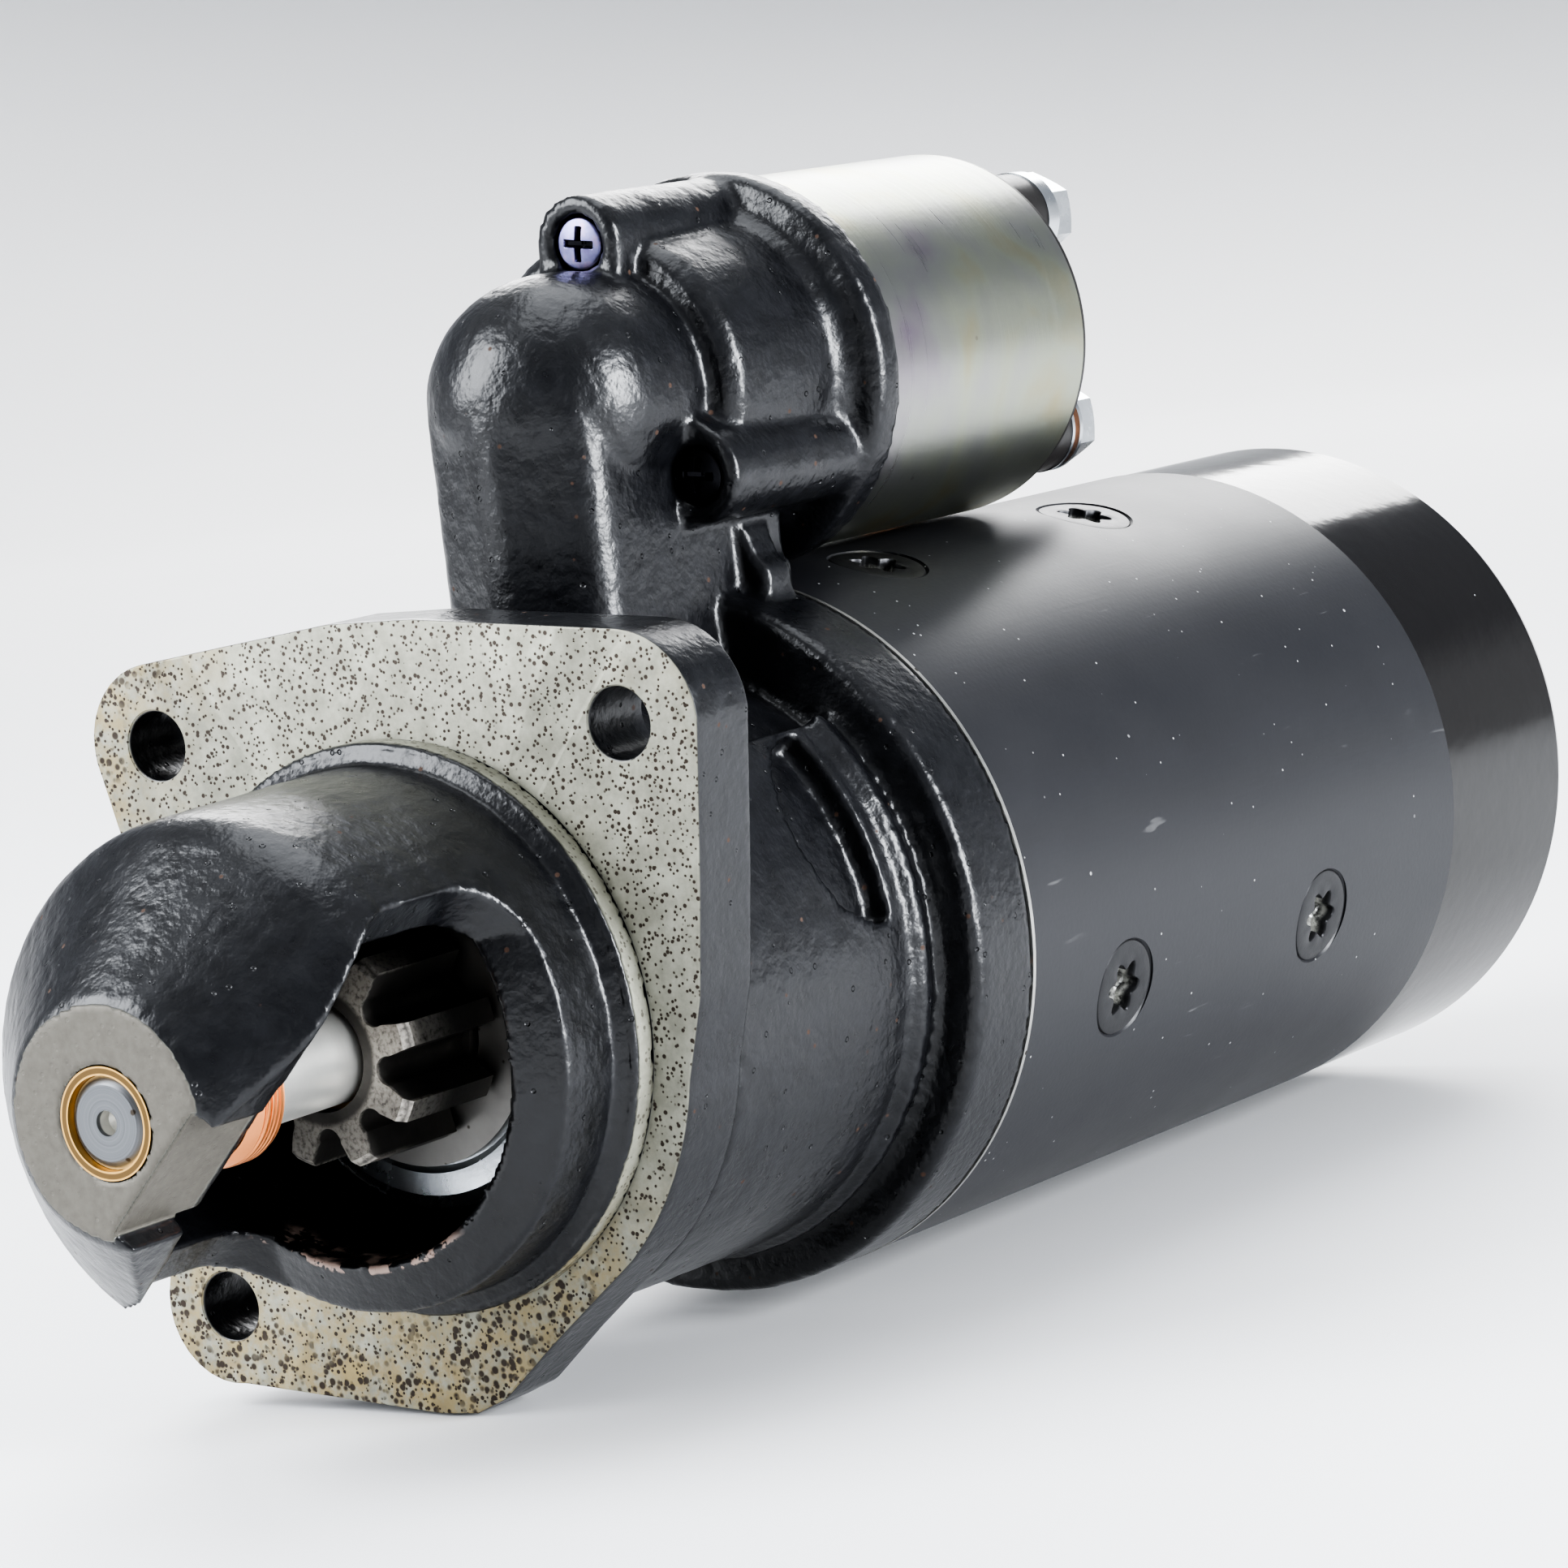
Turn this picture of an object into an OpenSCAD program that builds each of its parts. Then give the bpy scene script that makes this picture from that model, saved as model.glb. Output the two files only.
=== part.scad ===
// Pre-engaged starter motor with a flanged cast nose and a solenoid on top.
// X is the armature axis (nose towards -X), +Z points up to the solenoid.
// The origin is the centre of the mounting flange's machined front face.

/* [Mounting flange] */
// Diameter of the pilot that centres the starter in the engine housing
pilot_d = 88.9; // [86:0.1:92]
// Spacing of the flange bolt holes, square pattern with one corner left out
bolt_spacing = 89.8; // [87:0.1:93]
// Diameter of the flange bolt holes
bolt_hole_d = 11; // [9:0.5:12.5]
// Thickness of the mounting flange
flange_t = 14; // [11:0.5:16]

/* [Nose] */
// Distance from the flange face to the bearing boss face
nose_len = 73.3; // [72:0.1:76]
// Outer radius of the nose behind the dome
nose_r = 41; // [40:0.5:42.5]
// Inner radius of the nose cavity
nose_cavity_r = 33; // [32:0.25:34]
// Angle of the pinion window, from up towards the right-hand side
window_angle = 135; // [120:5:150]

/* [Motor body] */
// Outer radius of the yoke tube
yoke_r = 58.25; // [57.5:0.25:59]
// Wall thickness of the yoke tube
yoke_wall = 6.75; // [6.5:0.25:7.5]
// Front end of the yoke tube
yoke_front = 85.3; // [85:0.1:86]
// Length of the yoke tube
yoke_len = 144; // [142:1:146]
// Length of the rear cover behind the yoke
cover_len = 45; // [44:1:52]
// Radius of the armature's laminated core
core_r = 37.6; // [36:0.1:37.7]

/* [Pinion and drive] */
// Number of pinion teeth
pinion_teeth = 9; // [8:1:11]
// Outer radius of the pinion
pinion_r = 17.6; // [16.5:0.1:18]
// Travel of the pinion when it engages
drive_travel = 20; // [14:0.5:20.5]
// Radius of the roller clutch housing
clutch_r = 29.5; // [28:0.5:30]

/* [Solenoid] */
// Height of the solenoid axis above the armature axis
solenoid_z = 90.1; // [90:0.1:92]
// Outer radius of the solenoid case
solenoid_r = 31.35; // [30.5:0.05:31.4]
// Radius of the solenoid plunger
plunger_r = 12; // [11:0.5:12]
// Radius of the solenoid's bolt circle
solenoid_bolt_r = 24.4; // [23.5:0.1:24.5]

/* [Hidden] */
$fn = 64;

overlap = 1;              // how far a cutter reaches past the face that it cuts
bolt_half = bolt_spacing / 2;
pilot_r = pilot_d / 2;
pilot_len = 5;

// Nose and neck of the drive end housing
boss_r = 16.5;            // round bearing boss at the tip of the nose
boss_flat = 10.7;         // distance of the milled flat from the axis
hub_end = -54;            // inner end of the bearing hub
neck_r = 50.2;
neck_wall = 6.5;
collar_x = 69;            // front face of the collar that meets the yoke
bead_r = neck_r + 1.6;    // raised bead in front of the collar
pocket_r = neck_r - 4.2;  // floor of the foundry pockets
pocket_x = 58;            // straight rear edge of the D-shaped pocket
pocket_angle = 65;
pocket_round = 16.5;
flange_corner_r = 13;
flange_mid = 62.3;        // reach of the flange at the middle of its top and bottom edges
flange_side = [[-57.4, 31.4], [-55.9, 19.3], [-53.6, 3.5]];  // edge that leans in to the neck
dome_points = 10;

// Window: distance of its floor from the axis, its rear wall and its corner radius
window_floor = 4.5;
window_rear = -17.5;
window_corner = 13;
window_front = -62;
window_dip = -43;
window_lip = 14;          // distance of the cut from the axis beside the boss
flat_half = 12.6;         // half width of the boss flat
rim_slope = 0.44;         // lean of the window's rear wall, towards the nose as it goes in

// Tower that carries the solenoid
lever_x = 54.4;
tower_r = 20.4;
tower_hollow = 16.4;
column_half = 16.4;
column_round = 6.5;
lug_half = 21.6;          // half width of the lug that flares out below the lower ears
column_end = 89;
slot_half = 13;
step_r = 25.5;
cup_r = 33;
cup_start = 98.3;
cup_end = 104.6;
can_start = 101.2;
can_end = 164.8;
ear_r = 7.8;
ear_face = 62;
head_r = 4.5;
ear_angles = [5, 125, 245];
yoke_gap = 0.55;          // room between the tower and the yoke below it

// Lever and plunger
pivot_z = 58;
lever_short = solenoid_z - pivot_z;
plunger_travel = drive_travel * lever_short / pivot_z;
lever_rest = asin(drive_travel / 2 / pivot_z);
eye_x = lever_x - plunger_travel / 2;
fork_x = lever_x + drive_travel / 2;
pin_r = 4;
pin_far = 16.2;           // end of the lever pin at the tower's far side
pin_near = 14.5;
eye_half = 5.5;           // half length of the plunger's fork
fit = 0.05;               // radial running clearance of shafts and bores

// Yoke, poles and brush gear
yoke_end = yoke_front + yoke_len;
yoke_in = yoke_r - yoke_wall;
pole_angle = 17;
pole_face_r = 38.5;
pole_front = 98.5;
pole_end = 198.5;
screw_x = [115.2, 181.8];
screw_head_r = 8.6;
bolt_angles = [pole_angle + 45, pole_angle + 225];
bolt_ring_r = 47.6;
bolt_r = 3;
plate_front = 224;
plate_t = 2.5;
cover_end = yoke_end + cover_len;
cover_wall = 2.5;
brush_in = 22.4;
brush_out = 40;
brush_x = [231, 248];
brush_w = 14;

// Shaft
journal_r = 7;
main_r = 7.8;
spline_r = 8.6;
center_r = 9;
core_shaft_r = 10;
comm_r = 22;
comm_x = [221, 251];
core_x = [101, 196];
slots = 25;

// Drive
drum_len = 24;
pinion_front = -24.5;
pinion_root = 11;
pinion_recess = 3;        // how far the pinion's bush is set back from its front face
sleeve_r = 11;
sleeve_end = 71;
groove_half = 4;

// Solenoid terminals, measured from the solenoid axis
stud_y = -11.6;
stud_z = 18.3;
stud_r = 4;
stud_head_r = 5.2;
stud_x = [165.8, 173, 190.5];  // head, shank and free end of a terminal stud
cap_end = 177;
cap_boss_r = 7.8;         // boss round each stud on the cap
disc_r = 23;
disc_x = [160.2, 162.4];
nut_af = 13;

// Copper strap from the lower stud into the yoke
lead_x = cap_end + 1.6;
lead_y = 23.5;
lead_t = 1.6;

quarter_angles = [for (i = [0 : 3]) pole_angle + 90 * i];

// ---- shared shapes ----

module xcyl(x1, x2, r) {
    translate([x1, 0, 0]) rotate([0, 90, 0]) cylinder(h = x2 - x1, r = r);
}

module xtube(x1, x2, r_out, r_in) {
    difference() {
        xcyl(x1, x2, r_out);
        xcyl(x1 - overlap, x2 + overlap, r_in);
    }
}

// Turned solid: the outline holds [radius, x] points
module turned(outline) {
    rotate([0, 90, 0]) rotate_extrude() polygon(outline);
}

// Children made pointing up are turned about X to an angle from up towards -Y
module about_x(angles) {
    for (a = angles) rotate([a, 0, 0]) children();
}

// Wedge of an annulus about X, centred on up
module wedge(x1, x2, half_angle, reach) {
    steps = 6;
    fan = [for (i = [-steps : steps])
        let (a = half_angle * i / steps) [-reach * cos(a), reach * sin(a)]];
    translate([x1, 0, 0]) rotate([0, 90, 0])
        linear_extrude(x2 - x1) polygon(concat([[0, 0]], fan));
}

// Prism along X; the outline holds [y, z] points
module yz_prism(x1, x2) {
    translate([x1, 0, 0]) rotate([90, 0, 90]) linear_extrude(x2 - x1) children();
}

function arc(cx, cy, r, a1, a2, n) =
    [for (i = [0 : n]) let (a = a1 + (a2 - a1) * i / n) [cx + r * cos(a), cy + r * sin(a)]];

// Round wire spring made of stacked rings about X
module ring_spring(x1, x2, mean_r, wire_r, turns) {
    pitch = (x2 - x1 - 2 * wire_r) / (turns - 1);
    for (i = [0 : turns - 1])
        translate([x1 + wire_r + i * pitch, 0, 0]) rotate([0, 90, 0])
            rotate_extrude() translate([mean_r, 0]) circle(r = wire_r, $fn = 16);
}

module at_solenoid() {
    translate([0, 0, solenoid_z]) children();
}

// ---- drive end housing ----

// Outline of the flange: corner rounds at the three holes and a round in the fourth corner
module flange_outline() {
    b = bolt_half;
    r = flange_corner_r;
    waist = neck_r;
    polygon(concat(
        arc(b, b, r, -20, 84, 10),
        [[8, flange_mid], [-8, flange_mid]],
        arc(-b, b, r + 1.2, 96, 178, 8),
        flange_side,
        arc(0, 0, waist + 0.5, 190, 226, 8),
        [[-18, -50], [-8, -58.5], [-2, -61], [5, -61.2]],
        arc(b, -b, r - 0.4, 264, 380, 10),
        arc(0, 0, waist + 1.5, -14, 14, 4)
    ));
}

// Room that the engine's ring gear needs, as seen along the tangent of the gear
module window_cutter() {
    reach = 2 * nose_r;
    steps = 8;
    front = -nose_len - overlap;
    dip = [for (i = [0 : steps]) let (u = i / steps)
        [window_front + (window_dip - window_front) * u,
         window_lip + (window_floor - window_lip) * (1 - cos(180 * u)) / 2]];
    corner = arc(window_rear - window_corner, window_floor + window_corner,
                 window_corner, -90, 0, 10);
    rim_start = window_rear - rim_slope * nose_r;
    rotate([window_angle, 0, 0]) difference() {
        rotate([90, 0, 0]) translate([0, 0, -reach]) linear_extrude(2 * reach)
            polygon(concat([[front, window_lip]], dip, corner,
                           [[window_rear, reach], [front, reach]]));
        turned([[0, rim_start], [reach, rim_start + rim_slope * reach], [reach, reach], [0, reach]]);
    }
    rotate([window_angle, 0, 0]) translate([front, -flat_half, boss_flat])
        cube([hub_end - front, 2 * flat_half, reach]);
}

module housing_body() {
    dome = arc(-45, nose_r - 12.6, 12, 132, 90, dome_points);
    turned(concat(
        [[0, -nose_len], [boss_r, -nose_len], [boss_r + 1.8, -nose_len + 0.7]],
        [for (p = dome) [p[1], p[0]]],
        [[nose_r + 0.3, -pilot_len - 1], [pilot_r - 0.6, -pilot_len], [pilot_r, -pilot_len + 0.6],
         [pilot_r, 0.5], [neck_r, 0.5], [neck_r, collar_x - 7.5], [bead_r, collar_x - 5.5],
         [bead_r, collar_x - 3.8], [neck_r + 0.2, collar_x - 2], [neck_r + 0.2, collar_x],
         [yoke_r - 1.2, collar_x], [yoke_r, collar_x + 1.2], [yoke_r, yoke_front - 0.3],
         [0, yoke_front - 0.3]]));
}

module housing_cavity() {
    turned([
        [0, hub_end], [boss_r - 0.5, hub_end], [boss_r - 0.5, -60], [21, -60],
        [25.5, -55.5], [30.5, -50], [nose_cavity_r, -45.5], [nose_cavity_r, 13],
        [neck_r - neck_wall, 22], [neck_r - neck_wall, yoke_front - 6.3],
        [yoke_in - 0.1, yoke_front - 6.3], [yoke_in - 0.1, yoke_front], [0, yoke_front]
    ]);
}

module tower_body() {
    base = 40;
    height = solenoid_z - base;
    translate([0, 0, base]) {
        linear_extrude(height) hull() {
            translate([lever_x - 11.6, 0]) circle(r = 8.9);
            for (s = [-1, 1]) translate([lever_x - 10, s * (column_half - column_round)])
                circle(r = column_round);
        }
        translate([lever_x - 10, -column_half, 0])
            cube([column_end - lever_x + 10, 2 * column_half, height]);
    }
    // webs that flare from the column out to a lug on each side, narrower behind
    for (web = [[76, 83.5, lug_half], [80, column_end - 0.6, lug_half - 3]]) yz_prism(web[0], web[1])
        for (side = [0, 1]) mirror([side, 0]) polygon([
            [-1, 50], [web[2], 55], [web[2], 59], [web[2] - 2, 61.5],
            [column_half + 0.9, 67], [column_half - 1.4, 77], [-1, 77]]);
    at_solenoid() {
        translate([lever_x, 0, 0]) sphere(r = tower_r);
        xcyl(lever_x, 74, tower_r);
        turned([[0, 68], [step_r - 2, 68], [step_r, 70.5], [step_r + 1, cup_start - 3.5],
                [step_r + 3, cup_start - 0.8], [cup_r - 1, cup_start], [cup_r, cup_start + 1],
                [cup_r, cup_end], [0, cup_end]]);
        about_x(ear_angles) {
            translate([0, 0, solenoid_bolt_r]) xcyl(ear_face, cup_start + 1, ear_r);
            translate([ear_face, -ear_r, 10])
                cube([cup_start + 1 - ear_face, 2 * ear_r, solenoid_bolt_r - 10]);
        }
    }
}

module tower_hollow_shape() {
    at_solenoid() {
        translate([lever_x, 0, 0]) sphere(r = tower_hollow);
        xcyl(lever_x, cup_end + overlap, tower_hollow);
        xcyl(can_start - 1, cup_end + overlap, solenoid_r + 0.1);
        about_x(ear_angles) translate([0, 0, solenoid_bolt_r]) {
            xcyl(ear_face - overlap, ear_face + 3.6, head_r + 0.3);
            xcyl(ear_face, can_start, 2.75);
        }
    }
    // slot in the column for the lever
    translate([0, 0, 30]) intersection() {
        union() {
            translate([lever_x, 0, 0]) cylinder(r = tower_hollow - 1, h = solenoid_z - 30);
            translate([lever_x, -slot_half, 0]) cube([22, 2 * slot_half, solenoid_z - 30]);
        }
        translate([0, -slot_half, 0]) cube([2 * lever_x, 2 * slot_half, solenoid_z]);
    }
}

// Foundry pockets beside the tower: a D-shaped one, and an open one between it and the tower
module neck_pockets() {
    reach = neck_r + 10;
    for (side = [0, 1]) mirror([0, side, 0]) {
        rotate([pocket_angle, 0, 0]) intersection() {
            translate([pocket_x, 0, 0]) cylinder(r = pocket_round, h = reach);
            xtube(30, pocket_x, reach, pocket_r);
        }
        rotate([32, 0, 0]) intersection() {
            wedge(32, collar_x, 12.4, reach);
            xtube(31, collar_x + overlap, reach - 2, pocket_r);
        }
    }
}

module lever_pin_space() {
    translate([lever_x, pin_far, pivot_z]) rotate([90, 0, 0])
        cylinder(h = pin_far + pin_near, r = pin_r);
}

module drive_end_housing() color("#1c1d20") difference() {
    union() {
        difference() {
            housing_body();
            neck_pockets();
        }
        yz_prism(0, flange_t) flange_outline();
        difference() {
            tower_body();
            xcyl(yoke_front - 0.3, cup_end + overlap, yoke_r + yoke_gap);
        }
    }
    housing_cavity();
    tower_hollow_shape();
    window_cutter();
    xcyl(-nose_len - overlap, 0, journal_r + 1.4);
    for (p = [[1, 1], [-1, 1], [1, -1]])
        translate([0, p[0] * bolt_half, p[1] * bolt_half])
            xcyl(-overlap, flange_t + overlap, bolt_hole_d / 2);
    about_x(bolt_angles) translate([0, 0, bolt_ring_r]) xcyl(yoke_front - 14, yoke_front, bolt_r);
    lever_pin_space();
}

module nose_bush() color("goldenrod")
    xtube(-nose_len, hub_end - 1, journal_r + 1.4, journal_r + fit);

// ---- motor body ----

module center_plate() color("silver") difference() {
    union() {
        xcyl(yoke_front - 6, yoke_front + 2.5, yoke_in - 0.1);
        xcyl(yoke_front - 0.3, yoke_front + 0.5, yoke_r + 0.1);
        xcyl(yoke_front - 13, yoke_front, 18);
    }
    xcyl(0, 2 * yoke_front, center_r + 2.5);
    about_x(bolt_angles) translate([0, 0, bolt_ring_r]) xcyl(0, 2 * yoke_front, bolt_r + 0.15);
}

module center_bush() color("goldenrod")
    xtube(yoke_front - 13, yoke_front + 2.5, center_r + 2.5, center_r + fit);

module screw_positions() {
    about_x(quarter_angles)
        for (x = screw_x) translate([x, 0, 0]) children();
}

module pole_screw_space(extra) {
    translate([0, 0, pole_face_r + 4]) cylinder(r = 5 + extra, h = yoke_r - pole_face_r);
    translate([0, 0, yoke_r - 4]) cylinder(r1 = 5 + extra, r2 = screw_head_r + extra, h = 3.6);
    translate([0, 0, yoke_r - 0.4]) cylinder(r = screw_head_r + extra, h = 3);
}

module yoke() color("#26282c") difference() {
    xtube(yoke_front + 0.5, yoke_end, yoke_r, yoke_in);
    screw_positions() pole_screw_space(0.1);
    translate([lead_x, lead_y, 40]) cylinder(r = 6, h = 20);
}

module pole_shoes() color("gray") about_x(quarter_angles) difference() {
    union() {
        intersection() {
            xtube(pole_front, pole_end, pole_face_r + 4.2, pole_face_r);
            wedge(pole_front, pole_end, 33, yoke_r);
        }
        intersection() {
            xtube(pole_front + 3, pole_end - 3, yoke_in, pole_face_r + 4);
            translate([pole_front, -17, 0]) cube([pole_end - pole_front, 34, yoke_r]);
        }
    }
    for (x = screw_x) translate([x, 0, pole_face_r + 3.8]) cylinder(r = 5.02, h = yoke_wall + 10);
}

module pole_screws() color("#2b2c30") screw_positions() difference() {
    intersection() {
        pole_screw_space(0);
        xcyl(-20, 20, yoke_r - 0.1);
    }
    translate([0, 0, yoke_r - 3.4]) cylinder(r = 3.1, h = 6);
    for (k = [0 : 5]) rotate([0, 0, 60 * k])
        translate([3.3, 0, yoke_r - 3.4]) cylinder(r = 1.15, h = 6, $fn = 24);
}

module field_coils() color("#a4552f")
    about_x(quarter_angles) difference() {
        intersection() {
            xtube(91.5, 205.5, yoke_in - 0.5, pole_face_r + 4.5);
            wedge(91.5, 205.5, 37, yoke_r);
        }
        translate([pole_front - 1, -17.5, 0]) cube([pole_end - pole_front + 2, 35, yoke_r]);
    }

// ---- lead from the solenoid to the field coils ----

module motor_lead() color("#b5713c") difference() {
    yz_prism(lead_x - lead_t / 2, lead_x + lead_t / 2) {
        difference() {
            union() {
                translate([stud_y, solenoid_z - stud_z]) circle(r = 7);
                polygon([[stud_y, solenoid_z - stud_z + 5], [lead_y + 3.5, 69.5],
                         [lead_y + 3.5, 46.5], [lead_y - 3.5, 46.5], [lead_y - 3.5, 61.5],
                         [stud_y, solenoid_z - stud_z - 5]]);
            }
            translate([stud_y, solenoid_z - stud_z]) circle(r = stud_r);
        }
    }
}

module lead_grommet() color("#151515") difference() {
    union() {
        translate([lead_x, lead_y, 46]) cylinder(r = 5.95, h = 14);
        translate([lead_x, lead_y, 57.5]) cylinder(r = 8, h = 3.5);
    }
    translate([lead_x - lead_t / 2, lead_y - 3.5, 40]) cube([lead_t, 7, 30]);
    difference() {
        xcyl(lead_x - 10, lead_x + 10, yoke_r);
        translate([lead_x, lead_y, 30]) cylinder(r = 6, h = 40);
    }
    xcyl(lead_x - 10, lead_x + 10, yoke_in);
}

// ---- rear cover and brush gear ----

module rear_cover() color("#141416") difference() {
    turned([
        [0, cover_end - 1], [0, cover_end], [yoke_r - 3.2, cover_end],
        [yoke_r - 1.1, cover_end - 0.9], [yoke_r - 0.2, cover_end - 3],
        [yoke_r - 0.2, yoke_end + 0.3], [yoke_r - 0.8, yoke_end], [yoke_r - cover_wall, yoke_end],
        [yoke_r - cover_wall, cover_end - cover_wall - 1],
        [yoke_r - cover_wall - 1, cover_end - cover_wall], [14, cover_end - cover_wall],
        [14, cover_end - 18], [9.5, cover_end - 18], [9.5, cover_end - 4], [0, cover_end - 4]
    ]);
    about_x(bolt_angles) translate([0, 0, bolt_ring_r]) xcyl(yoke_end, cover_end + 1, bolt_r + 0.1);
}

module rear_bush() color("goldenrod")
    xtube(cover_end - 17, cover_end - 4, 9.5, journal_r + fit);

module through_bolts() color("silver") about_x(bolt_angles) translate([0, 0, bolt_ring_r]) {
    xcyl(yoke_front - 14, cover_end, bolt_r);
    xcyl(cover_end, cover_end + 1, 6);
    translate([cover_end + 1, 0, 0]) rotate([0, 90, 0]) cylinder(h = 4, r = 5.77, $fn = 6);
}

module brush_plate() color("dimgray") difference() {
    xcyl(plate_front, plate_front + plate_t, yoke_in - 0.05);
    xcyl(plate_front - 1, plate_front + plate_t + 1, comm_r + 3);
    about_x(bolt_angles) translate([0, 0, bolt_ring_r])
        xcyl(plate_front - 1, plate_front + 4, bolt_r + 0.3);
}

module brush_boxes() color("#b8a070") about_x(quarter_angles) {
    x1 = brush_x[0] - 0.3;
    x2 = brush_x[1] + 0.3;
    half = brush_w / 2 + 0.3;
    difference() {
        translate([plate_front + plate_t, -half - 1.5, 26])
            cube([x2 + 1.5 - plate_front - plate_t, 2 * half + 3, 22.5]);
        translate([x1, -half, 25]) cube([x2 - x1, 2 * half, 22]);
    }
}

module brush_springs() color("#9a9a9a") about_x(quarter_angles)
    translate([(brush_x[0] + brush_x[1]) / 2, 0, 0]) rotate([0, -90, 0])
        ring_spring(brush_out, 47, 4.5, 0.45, 4);

module brush(i) {
    rotate([quarter_angles[i], 0, 0]) intersection() {
        translate([brush_x[0], -brush_w / 2, 0]) cube([brush_x[1] - brush_x[0], brush_w, brush_out]);
        xtube(brush_x[0] - 1, brush_x[1] + 1, yoke_r, brush_in);
    }
}

module brush_1() color("#333333") brush(0);
module brush_2() color("#333333") brush(1);
module brush_3() color("#333333") brush(2);
module brush_4() color("#333333") brush(3);

// ---- solenoid ----

module solenoid_case() color("#a9a78f") at_solenoid() difference() {
    xtube(can_start, can_end, solenoid_r, solenoid_r - 2);
    xcyl(can_end - 0.6, can_end + 1, solenoid_r - 0.8);
}

module solenoid_plate() color("silver") at_solenoid() difference() {
    xcyl(can_start, can_start + 7, solenoid_r - 2);
    xcyl(can_start - 1, can_start + 8, plunger_r + 0.06);
    about_x(ear_angles) translate([0, 0, solenoid_bolt_r]) xcyl(can_start - 1, can_start + 8, 2.5);
}

module solenoid_bobbin() color("#3b3426") at_solenoid() difference() {
    union() {
        xcyl(can_start + 7, 152, plunger_r + 1.6);
        xcyl(can_start + 7, can_start + 9, solenoid_r - 2.4);
        xcyl(150, 152, solenoid_r - 2.4);
    }
    xcyl(can_start, 160, plunger_r + 0.1);
}

module solenoid_coil() color("#b0582c") at_solenoid()
    xtube(can_start + 9, 150, solenoid_r - 3, plunger_r + 1.6);

module solenoid_core() color("silver") at_solenoid() difference() {
    union() {
        xcyl(141, 153, plunger_r + 0.1);
        xcyl(152, 158, solenoid_r - 2);
    }
    xcyl(140, 160, 3.1);
}

module solenoid_cap() color("#101010") at_solenoid() difference() {
    union() {
        turned([
            [0, 158], [solenoid_r - 2, 158], [solenoid_r - 2, can_end - 0.6],
            [solenoid_r - 0.8, can_end - 0.6], [solenoid_r - 0.8, can_end],
            [solenoid_r - 0.1, can_end], [solenoid_r - 0.1, can_end + 0.9],
            [solenoid_r - 0.9, can_end + 1.6], [26, can_end + 1.8], [25.6, can_end + 8],
            [22, cap_end], [0, cap_end]
        ]);
        for (s = [-1, 1]) translate([0, stud_y, s * stud_z]) xcyl(can_end, cap_end, cap_boss_r);
    }
    xcyl(157, stud_x[1], disc_r + 0.8);
    for (s = [-1, 1]) translate([0, stud_y, s * stud_z]) {
        xcyl(can_end - 1, stud_x[1], stud_head_r + 0.2);
        xcyl(160, 200, stud_r);
    }
    translate([0, 14, 0]) xcyl(160, 200, 1.5);
}

module solenoid_gasket() color("#20201e") at_solenoid() difference() {
    xtube(can_start - 1, can_start, solenoid_r, tower_hollow + 1);
    about_x(ear_angles) translate([0, 0, solenoid_bolt_r]) xcyl(can_start - 2, can_start + 1, 2.75);
}

module stud(s) {
    translate([0, stud_y, s * stud_z]) {
        xcyl(stud_x[0], stud_x[1], stud_head_r);
        xcyl(stud_x[1] - overlap, stud_x[2], stud_r);
    }
}

module battery_stud() color("#b87333") at_solenoid() stud(1);
module motor_stud() color("#b87333") at_solenoid() stud(-1);

module terminal_nuts() color("#b9c4cc") at_solenoid() for (s = [-1, 1])
    translate([0, stud_y, s * stud_z]) difference() {
        translate([cap_end + 3.4, 0, 0]) rotate([0, 90, 0])
            cylinder(h = 6.5, r = nut_af / 2 / cos(30), $fn = 6);
        xcyl(cap_end, cap_end + 12, stud_r);
    }

module terminal_washers() color("#c9b27a") at_solenoid() {
    translate([0, stud_y, stud_z]) xtube(cap_end, cap_end + 3.4, 8, stud_r);
    translate([0, stud_y, -stud_z]) {
        xtube(cap_end, cap_end + 0.8, 8, stud_r);
        xtube(cap_end + 2.4, cap_end + 3.4, 8, stud_r);
    }
}

module switch_terminal() color("#c9b27a") at_solenoid() {
    translate([0, 14, 0]) xcyl(stud_x[1] + 1, cap_end + 1, 1.5);
    translate([cap_end, 10.85, -0.4]) cube([12, 6.3, 0.8]);
}

module solenoid_screws() color("#9aa0b8") at_solenoid()
    about_x(ear_angles) translate([0, 0, solenoid_bolt_r]) difference() {
        union() {
            xcyl(ear_face + 0.4, ear_face + 3.6, head_r);
            xcyl(ear_face + 3.6, can_start + 7, 2.5);
        }
        for (a = [0, 90]) rotate([a, 0, 0])
            translate([ear_face, -2.6, -0.6]) cube([2.2, 5.2, 1.2]);
    }

// ---- lever and its pin ----

module lever_pin() color("silver") lever_pin_space();

// Side view outlines are drawn from the pivot, with the lever upright
module lever_side(x_half, z1, z2, y1, y2) {
    translate([-x_half, y1, z1]) cube([2 * x_half, y2 - y1, z2 - z1]);
}

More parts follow.
